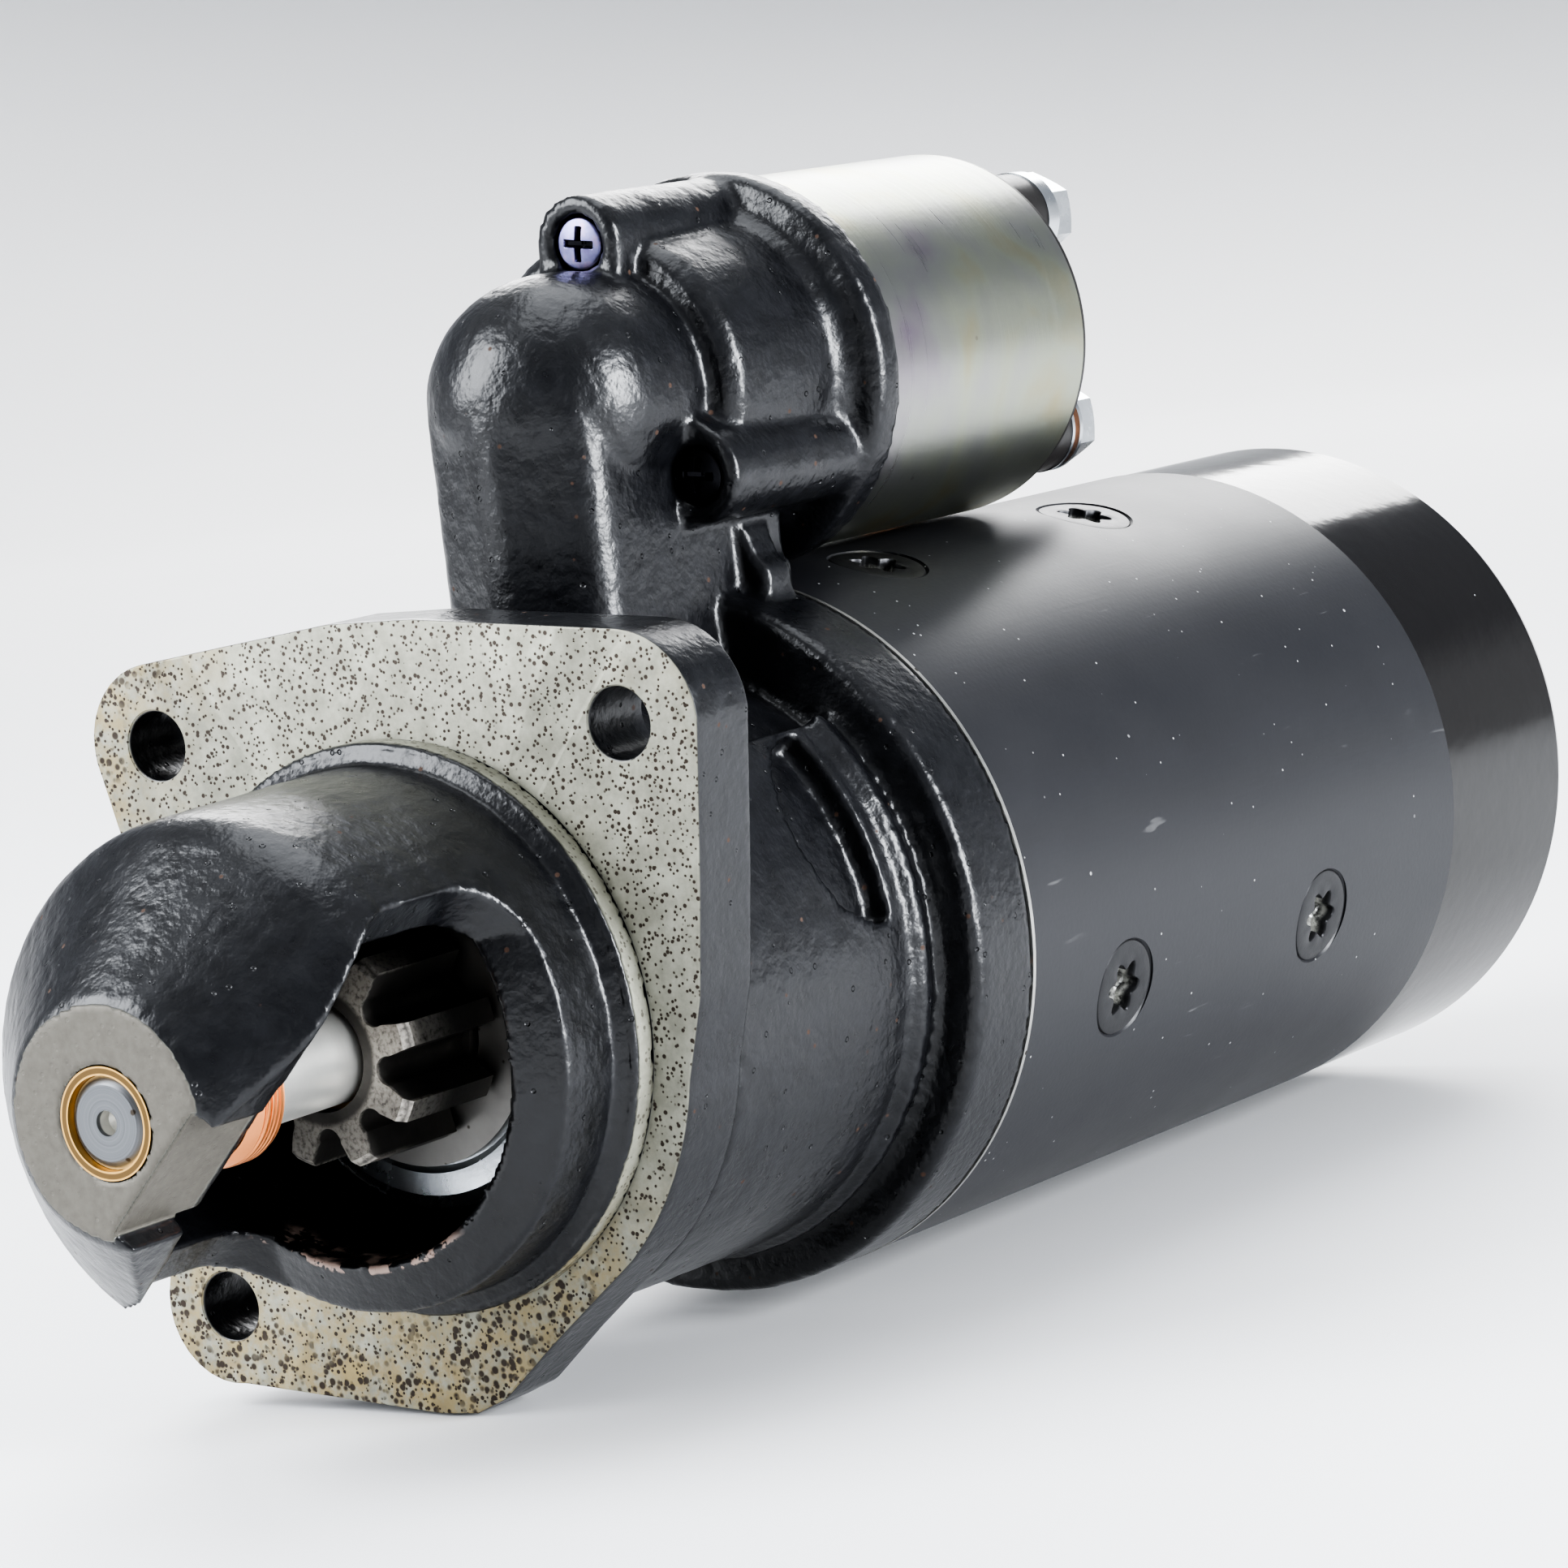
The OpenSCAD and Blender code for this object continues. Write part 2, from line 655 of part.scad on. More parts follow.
module fork_lever() color("#4a4d52")
    translate([lever_x, 0, pivot_z]) rotate([0, -lever_rest, 0]) difference() {
        union() {
            rotate([90, 0, 0]) cylinder(h = 22, r = 8, center = true);
            lever_side(4.5, 0, lever_short, -3.8, 3.8);
            translate([0, 0, lever_short]) rotate([90, 0, 0])
                cylinder(h = 7.6, r = 6.5, center = true);
            lever_side(4.5, -26, 0, -11, 11);
            lever_side(4.5, -34, -24, -25, 25);
            for (s = [-1, 1]) {
                lever_side(4.5, -pivot_z, -26, s * 22.8 - 2.2, s * 22.8 + 2.2);
                translate([0, s * 18.6, -pivot_z]) rotate([90, 0, 0])
                    cylinder(h = 6, r = groove_half - 0.4, center = true);
                translate([0, s * 22.8, -pivot_z]) rotate([90, 0, 0])
                    cylinder(h = 4.4, r = 5.5, center = true);
            }
        }
        rotate([90, 0, 0]) cylinder(h = 30, r = pin_r + fit, center = true);
        for (dz = [-1, 1]) translate([0, 0, lever_short + dz]) rotate([90, 0, 0])
            cylinder(h = 20, r = 2.9, center = true);
        translate([-2.9, -10, lever_short - 1]) cube([5.8, 20, 2]);
    }

// ---- plunger and contacts ----

module plunger() color("#b9b9b9") at_solenoid() difference() {
    union() {
        xcyl(70, 128, plunger_r);
        xcyl(76, 78.5, 15.6);
        translate([eye_x - eye_half, -9, -7]) cube([74 - eye_x + eye_half, 18, 14]);
    }
    translate([eye_x - 10, -4.3, -10]) cube([26, 8.6, 20]);
    translate([eye_x, 0, 0]) rotate([90, 0, 0]) cylinder(h = 30, r = 2.5, center = true);
}

module plunger_pin() color("silver") at_solenoid()
    translate([eye_x, 0, 0]) rotate([90, 0, 0]) cylinder(h = 20, r = 2.5, center = true);

module return_spring() color("#8d9094") at_solenoid()
    ring_spring(78.5, can_start, 14.2, 0.8, 6);

module contact_rod() color("silver") at_solenoid() {
    xcyl(142 - 2.6, disc_x[1] + 1, 3);
    xcyl(158.4, disc_x[0], 6);
}

module contact_disc() color("#b87333") at_solenoid() xtube(disc_x[0], disc_x[1], disc_r, 3);

module contact_spring() color("#8d9094") at_solenoid() ring_spring(disc_x[1], stud_x[1], 4.6, 0.5, 6);

// ---- armature ----

module armature_shaft() color("#c4c6c8") difference() {
    turned([
        [0, -nose_len + 0.3], [5.6, -nose_len + 0.3], [journal_r, -nose_len + 1.4],
        [journal_r, hub_end], [main_r, hub_end + 0.6], [main_r, 22], [spline_r, 23],
        [spline_r, 72], [center_r, 72.3], [center_r, 89], [core_shaft_r, 90],
        [core_shaft_r, 252], [journal_r, 252.5], [journal_r, cover_end - 5], [0, cover_end - 5]
    ]);
    turned([[0, -nose_len], [1.9, -nose_len], [1.9, -nose_len + 3], [0, -nose_len + 6]]);
}

module armature_core() color("#6d6f72") difference() {
    xtube(core_x[0], core_x[1], core_r, core_shaft_r);
    for (k = [0 : slots - 1]) rotate([360 * k / slots, 0, 0])
        translate([core_x[0] - 1, -1.7, core_r - 13]) cube([core_x[1] - core_x[0] + 2, 3.4, 16]);
}

module armature_windings() color("#b4612e") {
    for (k = [0 : slots - 1]) rotate([360 * k / slots, 0, 0])
        translate([core_x[0] - 1, -1.6, core_r - 12.8])
            cube([core_x[1] - core_x[0] + 2, 3.2, 12]);
    turned([[core_r - 13, 92], [core_r - 2, 92.5], [core_r - 0.8, 95], [core_r - 0.8, core_x[0]],
            [core_r - 14, core_x[0]]]);
    turned([[core_r - 14, core_x[1]], [core_r - 0.8, core_x[1]], [core_r - 0.8, 203],
            [27, 216], [comm_r + 1, comm_x[0]], [comm_r - 3, comm_x[0]]]);
}

module commutator() color("#c07a45") difference() {
    xtube(comm_x[0], comm_x[1], comm_r, core_shaft_r);
    for (k = [0 : slots - 1]) rotate([360 * (k + 0.5) / slots, 0, 0])
        translate([comm_x[0] - 1, -0.35, comm_r - 1]) cube([comm_x[1] - comm_x[0] + 2, 0.7, 2]);
}

module thrust_washers() color("#d8d8d0") {
    xtube(252.6, 253.6, 11, journal_r);
    xtube(88.3, 88.9, 13, center_r);
}

module stop_collar() color("#c8763a")
    turned([[main_r, hub_end + 1], [10.4, hub_end + 1], [11.6, hub_end + 3],
            [11.6, hub_end + 7.5], [main_r, hub_end + 7.5]]);

module stop_ring() color("#55585c") xtube(hub_end + 7.5, hub_end + 8.7, 9.6, main_r);

// ---- drive ----

module drive_sleeve() color("#8f9296") xtube(drum_len - 3, sleeve_end, sleeve_r, spline_r + fit);

module guide_ring() color("#7c6a45") turned([
    [sleeve_r, fork_x - groove_half - 2.4], [20, fork_x - groove_half - 2.4],
    [20, fork_x - groove_half], [14.6, fork_x - groove_half], [14.6, fork_x + groove_half],
    [20, fork_x + groove_half], [20, fork_x + groove_half + 1.8],
    [sleeve_r, fork_x + groove_half + 1.8]
]);

module meshing_spring() color("#5e6266") ring_spring(drum_len, fork_x - groove_half - 2.4, 13.6, 1.5, 7);

module sleeve_ring() color("#55585c")
    xtube(fork_x + groove_half + 1.8, fork_x + groove_half + 2.6, 13, sleeve_r);

module clutch_housing() color("#a7adb3") turned([
    [13, 0.2], [22, 0.2], [23, -0.8], [clutch_r - 3, -0.8], [clutch_r - 0.9, 0.1], [clutch_r, 2.2],
    [clutch_r, drum_len - 2], [clutch_r - 2, drum_len], [sleeve_r, drum_len],
    [sleeve_r, drum_len - 4], [24, drum_len - 4], [24, 3.2], [13, 3.2]
]);

module clutch_cover() color("#77736e") xtube(-1.8, 0.2, 21.7, 13);

module clutch_rollers() color("silver")
    about_x([for (i = [0 : 5]) 60 * i]) translate([0, 0, 21]) xcyl(5, 17, 2.9);

// One tooth space of the pinion, cut from the blank, with a round root
module tooth_space() {
    pitch = 360 / pinion_teeth;
    reach = pinion_r + 1;
    round_r = pinion_root * sin(pitch * 0.3);
    translate([0, pinion_root + round_r]) circle(r = round_r);
    polygon([
        [-round_r, pinion_root + round_r], [round_r, pinion_root + round_r],
        [reach * sin(pitch * 0.37), reach * cos(pitch * 0.37)],
        [-reach * sin(pitch * 0.37), reach * cos(pitch * 0.37)]
    ]);
}

module pinion() color("#4b4845") difference() {
    turned([
        [8.6, pinion_front], [pinion_r - 1.2, pinion_front], [pinion_r, pinion_front + 1.4],
        [pinion_r, -3.4], [12.5, -3.4], [12.5, 3.9], [17.7, 3.9], [17.7, 19.6], [9.4, 19.6],
        [9.4, pinion_front + pinion_recess], [8.6, pinion_front + pinion_recess]
    ]);
    for (k = [0 : pinion_teeth - 1]) rotate([360 * k / pinion_teeth + 20, 0, 0])
        yz_prism(pinion_front - overlap, -3.4 + 0.01) tooth_space();
}

module pinion_bush() color("goldenrod") xtube(pinion_front + pinion_recess, 19.6, 9.4, main_r + fit);

drive_end_housing();
nose_bush();
center_plate();
center_bush();
yoke();
pole_shoes();
pole_screws();
field_coils();
motor_lead();
lead_grommet();
rear_cover();
rear_bush();
through_bolts();
brush_plate();
brush_boxes();
brush_springs();
solenoid_case();
solenoid_plate();
solenoid_bobbin();
solenoid_coil();
solenoid_core();
solenoid_cap();
solenoid_gasket();
battery_stud();
motor_stud();
terminal_nuts();
terminal_washers();
switch_terminal();
solenoid_screws();
lever_pin();
return_spring();
contact_spring();
armature_shaft();
armature_core();
armature_windings();
commutator();
thrust_washers();
stop_collar();
stop_ring();
drive_sleeve();
guide_ring();
meshing_spring();
clutch_housing();
clutch_cover();
clutch_rollers();
sleeve_ring();
pinion();
pinion_bush();
fork_lever();
plunger();
plunger_pin();
contact_rod();
contact_disc();
brush_1();
brush_2();
brush_3();
brush_4();
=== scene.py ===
import math

import bmesh
import bpy
import numpy as np
from mathutils import Matrix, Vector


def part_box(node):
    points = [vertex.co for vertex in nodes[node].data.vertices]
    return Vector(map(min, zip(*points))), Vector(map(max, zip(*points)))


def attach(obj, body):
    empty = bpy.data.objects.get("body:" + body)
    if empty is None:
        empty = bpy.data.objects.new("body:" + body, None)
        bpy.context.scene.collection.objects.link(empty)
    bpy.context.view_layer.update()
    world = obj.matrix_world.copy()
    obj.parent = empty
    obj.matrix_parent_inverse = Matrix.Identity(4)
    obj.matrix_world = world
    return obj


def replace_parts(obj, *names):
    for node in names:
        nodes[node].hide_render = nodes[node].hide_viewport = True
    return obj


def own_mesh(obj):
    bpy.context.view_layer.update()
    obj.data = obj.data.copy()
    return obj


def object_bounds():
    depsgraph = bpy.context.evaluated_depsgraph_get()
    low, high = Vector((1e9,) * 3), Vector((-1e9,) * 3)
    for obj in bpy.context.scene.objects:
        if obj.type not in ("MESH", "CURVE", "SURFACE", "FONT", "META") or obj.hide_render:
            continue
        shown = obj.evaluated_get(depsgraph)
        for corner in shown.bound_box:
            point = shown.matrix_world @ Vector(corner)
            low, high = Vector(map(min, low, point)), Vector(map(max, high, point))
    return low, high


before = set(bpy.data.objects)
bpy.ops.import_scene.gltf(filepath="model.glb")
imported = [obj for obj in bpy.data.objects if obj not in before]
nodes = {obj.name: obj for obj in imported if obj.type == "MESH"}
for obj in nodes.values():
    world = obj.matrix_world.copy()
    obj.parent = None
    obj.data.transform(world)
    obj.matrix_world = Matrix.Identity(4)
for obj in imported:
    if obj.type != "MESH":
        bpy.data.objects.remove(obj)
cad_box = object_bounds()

# ---- sizes shared by the finishes and the shapes ----

MM = 0.001                                      # metres in a millimetre
LEAN = 0.70711                                  # cosine and sine of 45 degrees, the nose window's lean
SOLENOID_Z = 90.1 * MM                          # height of the solenoid's axis
FLANGE_DEPTH = 14 * MM
FLANGE_HOLES = [(44.9 * MM, 44.9 * MM), (-44.9 * MM, 44.9 * MM), (44.9 * MM, -44.9 * MM)]
POLE_TURNS = np.radians(17 + 90 * np.arange(4))     # the four poles, each turned about X from straight up

# ---- camera and light: the camera's place and directions in the frame ----

CAMERA_AT = (-0.694054, -0.558528, 0.130397)
CAMERA_RIGHT = (0.558072, -0.821387, -0.117808)
CAMERA_UP = (0.159091, -0.033427, 0.986698)
CAMERA_BACK = (-0.814399, -0.569391, 0.112021)
CAMERA_LENS = 134.68
CAMERA_SENSOR = 36
DAYLIGHT = (0.93, 0.96, 1)


def in_scene(name, data):
    """A new object for data, linked to the scene."""
    made = bpy.data.objects.new(name, data)
    bpy.context.scene.collection.objects.link(made)
    return made


def place(made, at, right, up, back):
    """Puts a camera or light at a point, looking along minus back."""
    made.matrix_world = Matrix([*zip(right, up, back, at), (0, 0, 0, 1)])
    return made


def add_camera():
    """The camera that the scene is rendered from."""
    data = bpy.data.cameras.new("camera")
    data.lens, data.sensor_width, data.sensor_fit = CAMERA_LENS, CAMERA_SENSOR, "AUTO"
    data.clip_start, data.clip_end = 0.01, 50
    made = in_scene("camera", data)
    place(made, CAMERA_AT, CAMERA_RIGHT, CAMERA_UP, CAMERA_BACK)
    bpy.context.scene.camera = made


def add_light(name, side, rise, toward, size, watts, colour=(1, 1, 1), middle=(0.1, 0, 0.03)):
    """A rectangular softbox, placed by metres along the camera's right, up and back, facing the middle."""
    offset = side * np.array(CAMERA_RIGHT) + rise * np.array(CAMERA_UP) + toward * np.array(CAMERA_BACK)
    back = offset / np.linalg.norm(offset)
    right = np.cross((0, 0, 1), back)
    right /= np.linalg.norm(right)
    data = bpy.data.lights.new(name, "AREA")
    data.shape = "RECTANGLE"
    data.size, data.size_y, data.energy, data.color = size[0], size[1], watts, colour
    place(in_scene(name, data), np.array(middle) + offset, right, np.cross(back, right), back)


add_camera()

# ---- materials: shader maths as Python expressions ----


def plug(tree, slot, value):
    """Links a Value to a node's input, or sets the input to a number or colour."""
    if isinstance(value, Value):
        tree.links.new(value.socket, slot)
    else:
        slot.default_value = value


class Value:
    """A shader socket that Python's arithmetic works on: each operator adds one Math node."""

    def __init__(self, tree, socket):
        self.tree, self.socket = tree, socket

    def math(self, operation, *terms):
        made = self.tree.nodes.new("ShaderNodeMath")
        made.operation = operation
        for slot, term in zip(made.inputs, terms):
            plug(self.tree, slot, term)
        return Value(self.tree, made.outputs[0])

    def __add__(self, other):
        return self.math("ADD", self, other)

    def __mul__(self, other):
        return self.math("MULTIPLY", self, other)

    def __sub__(self, other):
        return self.math("SUBTRACT", self, other)

    def __rsub__(self, other):
        return self.math("SUBTRACT", other, self)

    def __pow__(self, other):
        return self.math("POWER", self, other)

    def __lt__(self, other):
        return self.math("LESS_THAN", self, other)

    __radd__ = __add__
    __rmul__ = __mul__

    def most(self, other):
        return self.math("MAXIMUM", self, other)

    def least(self, other):
        return self.math("MINIMUM", self, other)

    def size(self):
        return self.math("ABSOLUTE", self)


class Finish:
    """One procedural material: fixed numbers sit on the shader's own sockets, what varies is an expression
    of the object's coordinates x, y and z or of r, the distance from the motor axis."""

    def __init__(self, name, **fixed):
        self.name = name
        self.material = bpy.data.materials.new(name + "_finish")
        self.material.use_nodes = True
        self.tree = self.material.node_tree
        self.shader = self.tree.nodes["Principled BSDF"]
        self.set(**fixed)
        self.at = self.node("ShaderNodeTexCoord", out="Object")
        self.x, self.y, self.z = (
            self.node("ShaderNodeSeparateXYZ", {}, {0: self.at}, out=axis) for axis in range(3))
        self.r = self.away(0, 0)

    def set(self, **values):
        """Sets the shader's inputs, named in lower case with underscores."""
        for key, value in values.items():
            socket = self.shader.inputs[key.replace("_", " ").title()]
            plug(self.tree, socket, value)
        return self

    def node(self, kind, settings=None, inputs=None, out=0):
        """The output of a new node with these settings and inputs; stops are a colour ramp's."""
        made = self.tree.nodes.new(kind)
        for key, value in (settings or {}).items():
            if key == "stops":
                ramp = made.color_ramp.elements
                while len(ramp) < len(value):
                    ramp.new(0.5)
                for element, (spot, colour) in zip(ramp, value):
                    element.position, element.color = spot, (*colour, 1)
            else:
                setattr(made, key, value)
        for key, value in (inputs or {}).items():
            plug(self.tree, made.inputs[key], value)
        return Value(self.tree, made.outputs[out])

    def away(self, y, z):
        """Distance from a line along X through (y, z)."""
        return (((self.y - y) * (self.y - y)) + ((self.z - z) * (self.z - z))) ** 0.5

    def stretched(self, *scale):
        """The object's coordinates, scaled along each axis."""
        return self.node("ShaderNodeMapping", {}, {"Vector": self.at, "Scale": scale})

    def noise(self, scale, detail=3.0, roughness=0.5, at=None, twist=0.0):
        return self.node("ShaderNodeTexNoise", {}, {
            "Vector": at or self.at, "Scale": scale, "Detail": detail,
            "Roughness": roughness, "Distortion": twist})

    def span(self, value, low, high):
        """0 below low, 1 above high, smooth between; the other way round when low is the larger."""
        return self.node("ShaderNodeMapRange", {"interpolation_type": "SMOOTHSTEP"}, {
            "Value": value, "From Min": low, "From Max": high})

    def specks(self, scale, size, share, at=None):
        """Round marks: one in a share of the cells of 1/scale metres, size being its radius in cells."""
        cell = {"Vector": at or self.at, "Scale": scale}
        near = self.node("ShaderNodeTexVoronoi", {}, cell, out="Distance")
        draw = self.node("ShaderNodeSeparateColor", {}, {
            0: self.node("ShaderNodeTexVoronoi", {}, cell, out="Color")})
        return self.span(near, size, size * 0.6) * (draw < share)

    def mix(self, share, first, second):
        """The first colour at share 0, the second at share 1."""
        made = self.tree.nodes.new("ShaderNodeMix")
        made.data_type = "RGBA"
        for index, value in ((0, share), (6, first), (7, second)):
            plug(self.tree, made.inputs[index], (*value, 1) if isinstance(value, tuple) else value)
        return Value(self.tree, made.outputs[2])

    def blend(self, share, first, second):
        """As mix, for numbers."""
        return self.node("ShaderNodeMix", {"data_type": "FLOAT"}, {0: share, 2: first, 3: second})

    def ramp(self, value, *stops):
        return self.node("ShaderNodeValToRGB", {"stops": stops}, {0: value})

    def bump(self, height, depth):
        """Depth is the height in metres that a change of 1 in the expression stands for."""
        return self.set(normal=self.node("ShaderNodeBump", {}, {"Height": height, "Distance": depth}))


BLACK = (0.0052, 0.0055, 0.0068)
RUST = (0.045, 0.020, 0.010)
SPOT = (0.05, 0.04, 0.03)
DUST = (0.45, 0.45, 0.45)


def machined_areas(f, wave, side):
    """Shares, 0 to 1, of the flange face, the pilot, the boss face and the flat beside the boss. Wave
    moves their edges; side is the distance from the axis towards the window."""
    face = f.span(f.x, 0.00035, 0.00005) * f.span(f.x, -0.0008, -0.0003) * f.span(f.r, 0.0444, 0.0446)
    pilot = f.span(f.x + wave, -0.0044, -0.0038) * f.span(f.x, 0.0003, 0.0001) * f.span(f.r, 0.0442, 0.04435)
    boss = f.span(f.x + wave * 0.2, -0.0730, -0.0732)
    flat = (f.span((side - 0.0107).size(), 0.0004, 0.00015) * f.span(f.x + wave, -0.0555, -0.0565)
            * f.span((f.y - f.z).size() + wave * 3, 0.0190, 0.0175))
    return face, pilot, boss, flat


def bare_iron(f, face, pilot, boss, flat):
    """Machined iron: grey clouds, tan stains low down and at the upper corner, and dark spots. Returns the
    colour and the share of spots."""
    stain = f.noise(28, 3, 0.6)
    low = f.span(f.z + (stain - 0.5) * 0.05, -0.015, -0.055)
    corner = f.span(f.y + f.z + (stain - 0.5) * 0.04, 0.074, 0.108)
    dirt = low.most(corner)
    tan = ((low * 0.8 + corner * 0.75 + f.span(stain, 0.52, 0.72) * 0.3).least(1.0)
           * f.span(f.noise(210, 5, 0.75), 0.36, 0.60))
    spots = f.specks(820, 0.36, 0.30).most(f.specks(1300, 0.40, 0.30)).most(
        f.specks(700, 0.55, 0.75) * f.span(dirt * f.noise(110, 3), 0.30, 0.50))
    grey = f.mix(f.span(f.noise(150, 5, 0.7), 0.3, 0.75), (0.20, 0.198, 0.16), (0.325, 0.325, 0.27))
    brown = f.mix(f.noise(320, 3, 0.6), (0.20, 0.15, 0.075), (0.34, 0.275, 0.13))
    turned = f.mix(f.noise(700, 3), (0.085, 0.079, 0.067), (0.145, 0.135, 0.115))
    iron = f.mix(boss.most(flat), f.mix(tan, grey, brown), turned)
    return f.mix(spots * face.most(pilot * 0.6), iron, (0.030, 0.020, 0.013)), spots


def window_chips(f, wave, side):
    """Share of the window's rim where the paint is chipped off."""
    return (f.span((f.r - 0.0336).size() + wave * 1.6, 0.0009, 0.0004) * f.span(side, 0.006, 0.010)
            * f.span(f.x, -0.048, -0.046) * f.span(f.x, -0.012, -0.015) * f.span(f.z - f.y, -0.006, -0.014)
            * f.span(f.noise(260, 3, 0.7), 0.50, 0.54))


def casting_paint():
    """Gloss black over rough iron, with the flange face, pilot, boss and its flat left machined."""
    f = Finish("casting_paint")
    lumps, peel, grain = f.noise(240, 3, 0.5), f.noise(620, 2, 0.5), f.noise(1500, 3, 0.6)
    wave = (f.noise(420, 2) - 0.5) * 0.0009
    side = (f.y + f.z) * -LEAN
    face, pilot, boss, flat = machined_areas(f, wave, side)
    bare = face.most(pilot).most(boss).most(flat)
    iron, spots = bare_iron(f, face, pilot, boss, flat)
    chips = window_chips(f, wave, side)
    rust = f.specks(520, 0.26, 0.030) + f.span(f.noise(70, 4, 0.7), 0.71, 0.79) * 0.3
    paint = f.mix(f.span(lumps, 0.35, 0.7), BLACK, (0.008, 0.0084, 0.0102))
    paint = f.mix(chips, f.mix(rust.least(1.0), paint, RUST), (0.42, 0.31, 0.26))
    dull = 0.22 + lumps * 0.16 + rust * 0.4 + chips * 0.3
    f.set(base_color=f.mix(bare, paint, iron), metallic=bare * 0.45,
          roughness=f.blend(bare, dull, 0.5 + grain * 0.12))
    pits = f.specks(620, 0.32, 0.05)
    painted = (lumps * 0.38 + peel * 0.5 + grain * 0.08) * (1 - bare * 0.95) - pits * 0.8 * (1 - bare)
    return f.bump(painted - spots * 0.12 * bare + grain * 0.03 * bare, 0.00034)


def yoke_paint():
    """Satin black on a drawn tube, with fine streaks, scuffs and dust."""
    f = Finish("yoke_paint")
    streak = f.noise(1, 3, 0.6, f.stretched(25, 900, 900))
    cloud = f.noise(30, 4, 0.6)
    scuffs = f.span(f.noise(1, 2, 0.5, f.stretched(60, 1400, 260)), 0.70, 0.74) * f.span(cloud, 0.5, 0.62)
    dust = f.specks(900, 0.22, 0.02).most(f.specks(420, 0.16, 0.018) * f.span(cloud, 0.45, 0.6))
    black = f.mix(cloud, (0.0085, 0.0087, 0.0110), (0.0135, 0.0137, 0.0165))
    f.set(base_color=f.mix((dust * 0.8 + scuffs * 0.12).least(1.0), black, DUST),
          roughness=0.36 + cloud * 0.14 + scuffs * 0.15 + dust * 0.3)
    return f.bump(streak * 0.25 + f.noise(1100, 2) * 0.3 + dust * 0.5, 0.00006)


def cover_paint():
    """Gloss black on a drawn cover, faintly rippled, with a little dust."""
    f = Finish("cover_paint")
    peel = f.noise(260, 2)
    dust = f.specks(500, 0.14, 0.012)
    black = f.mix(f.noise(18, 3), (0.004, 0.0036, 0.0036), (0.007, 0.006, 0.006))
    f.set(base_color=f.mix(dust, black, (0.4, 0.4, 0.4)),
          roughness=0.07 + f.noise(60, 3) * 0.07 + dust * 0.4)
    return f.bump(peel, 0.00004)


def zinc_yellow():
    """Passivated zinc: pale olive metal that drifts to gold, violet and green, with round turning marks."""
    f = Finish("zinc_yellow", metallic=1.0)
    cloud = f.noise(26, 3, 0.55, twist=0.6)
    ring = f.noise(1, 3, 0.6, f.stretched(1400, 14, 14))
    tint = f.ramp(cloud * 0.8 + f.noise(90, 3) * 0.2,
                  (0.30, (0.27, 0.22, 0.29)), (0.42, (0.33, 0.335, 0.32)), (0.52, (0.35, 0.37, 0.30)),
                  (0.62, (0.36, 0.33, 0.20)), (0.74, (0.25, 0.31, 0.29)))
    marks = f.specks(260, 0.16, 0.05)
    f.set(base_color=f.mix(marks * 0.6, f.mix(ring * 0.2, tint, (0.34, 0.34, 0.31)), (0.22, 0.2, 0.16)),
          roughness=0.20 + ring * 0.10 + cloud * 0.10)
    return f.bump(ring * 0.5 + f.noise(700, 2) * 0.3, 0.00005)


def metal(name, dark, light, rough, grain=500, depth=0.00004, specks=0.0, spot=SPOT):
    """A bare metal: two shades in clouds over a fine grain, and dark specks in a share of its cells."""
    f = Finish(name, metallic=1.0)
    fine = f.noise(grain, 4, 0.6)
    cloud = f.noise(120, 4, 0.6)
    base = f.mix(cloud * 0.7 + fine * 0.3, dark, light)
    if specks:
        base = f.mix(f.specks(700, 0.4, specks), base, spot)
    f.set(base_color=base, roughness=rough + (fine - 0.5) * 0.16 + (cloud - 0.5) * 0.1)
    return f.bump(fine, depth)


def plain(name, dark, light, rough):
    """A dyed or moulded material: two shades in clouds over a fine grain."""
    f = Finish(name)
    cloud, fine = f.noise(90, 4, 0.6), f.noise(1000, 3, 0.6)
    f.set(base_color=f.mix(cloud, dark, light), roughness=rough + (fine - 0.5) * 0.2)
    return f.bump(fine * 0.5 + cloud * 0.5, 0.00005)


def gear_steel():
    """Oiled dark steel, worn light on the tooth ends."""
    f = Finish("gear_steel", metallic=0.85)
    cloud, fine = f.noise(200, 4, 0.65), f.noise(1300, 3, 0.6)
    worn = f.span(f.x + (cloud - 0.5) * 0.003, -0.0236, -0.0243) * f.span(f.r, 0.0100, 0.0112)
    tips = f.span(f.r + (cloud - 0.5) * 0.0006, 0.0170, 0.0175) * f.span(f.x, -0.012, -0.020)
    oiled = f.mix(cloud, (0.06, 0.056, 0.052), (0.14, 0.132, 0.122))
    bright = f.mix(cloud, (0.34, 0.315, 0.28), (0.52, 0.49, 0.44))
    f.set(base_color=f.mix(worn.most(tips) * f.span(fine, 0.2, 0.6), oiled, bright),
          roughness=0.36 + cloud * 0.2)
    return f.bump(fine, 0.00005)


def bush_bronze():
    """Bearing bronze; the end face is dark between two bright turned edges."""
    f = Finish("bronze", metallic=1.0)
    fine, cloud = f.noise(900, 3, 0.6), f.noise(160, 4, 0.6)
    dark = f.span(f.x, -0.0728, -0.0731) * f.span(f.r, 0.00725, 0.0074) * f.span(f.r, 0.0082, 0.00805)
    f.set(base_color=f.mix(dark, f.mix(cloud, (0.46, 0.27, 0.09), (0.62, 0.41, 0.16)), (0.13, 0.085, 0.04)),
          roughness=0.34 + (fine - 0.5) * 0.14)
    return f.bump(fine, 0.00003)


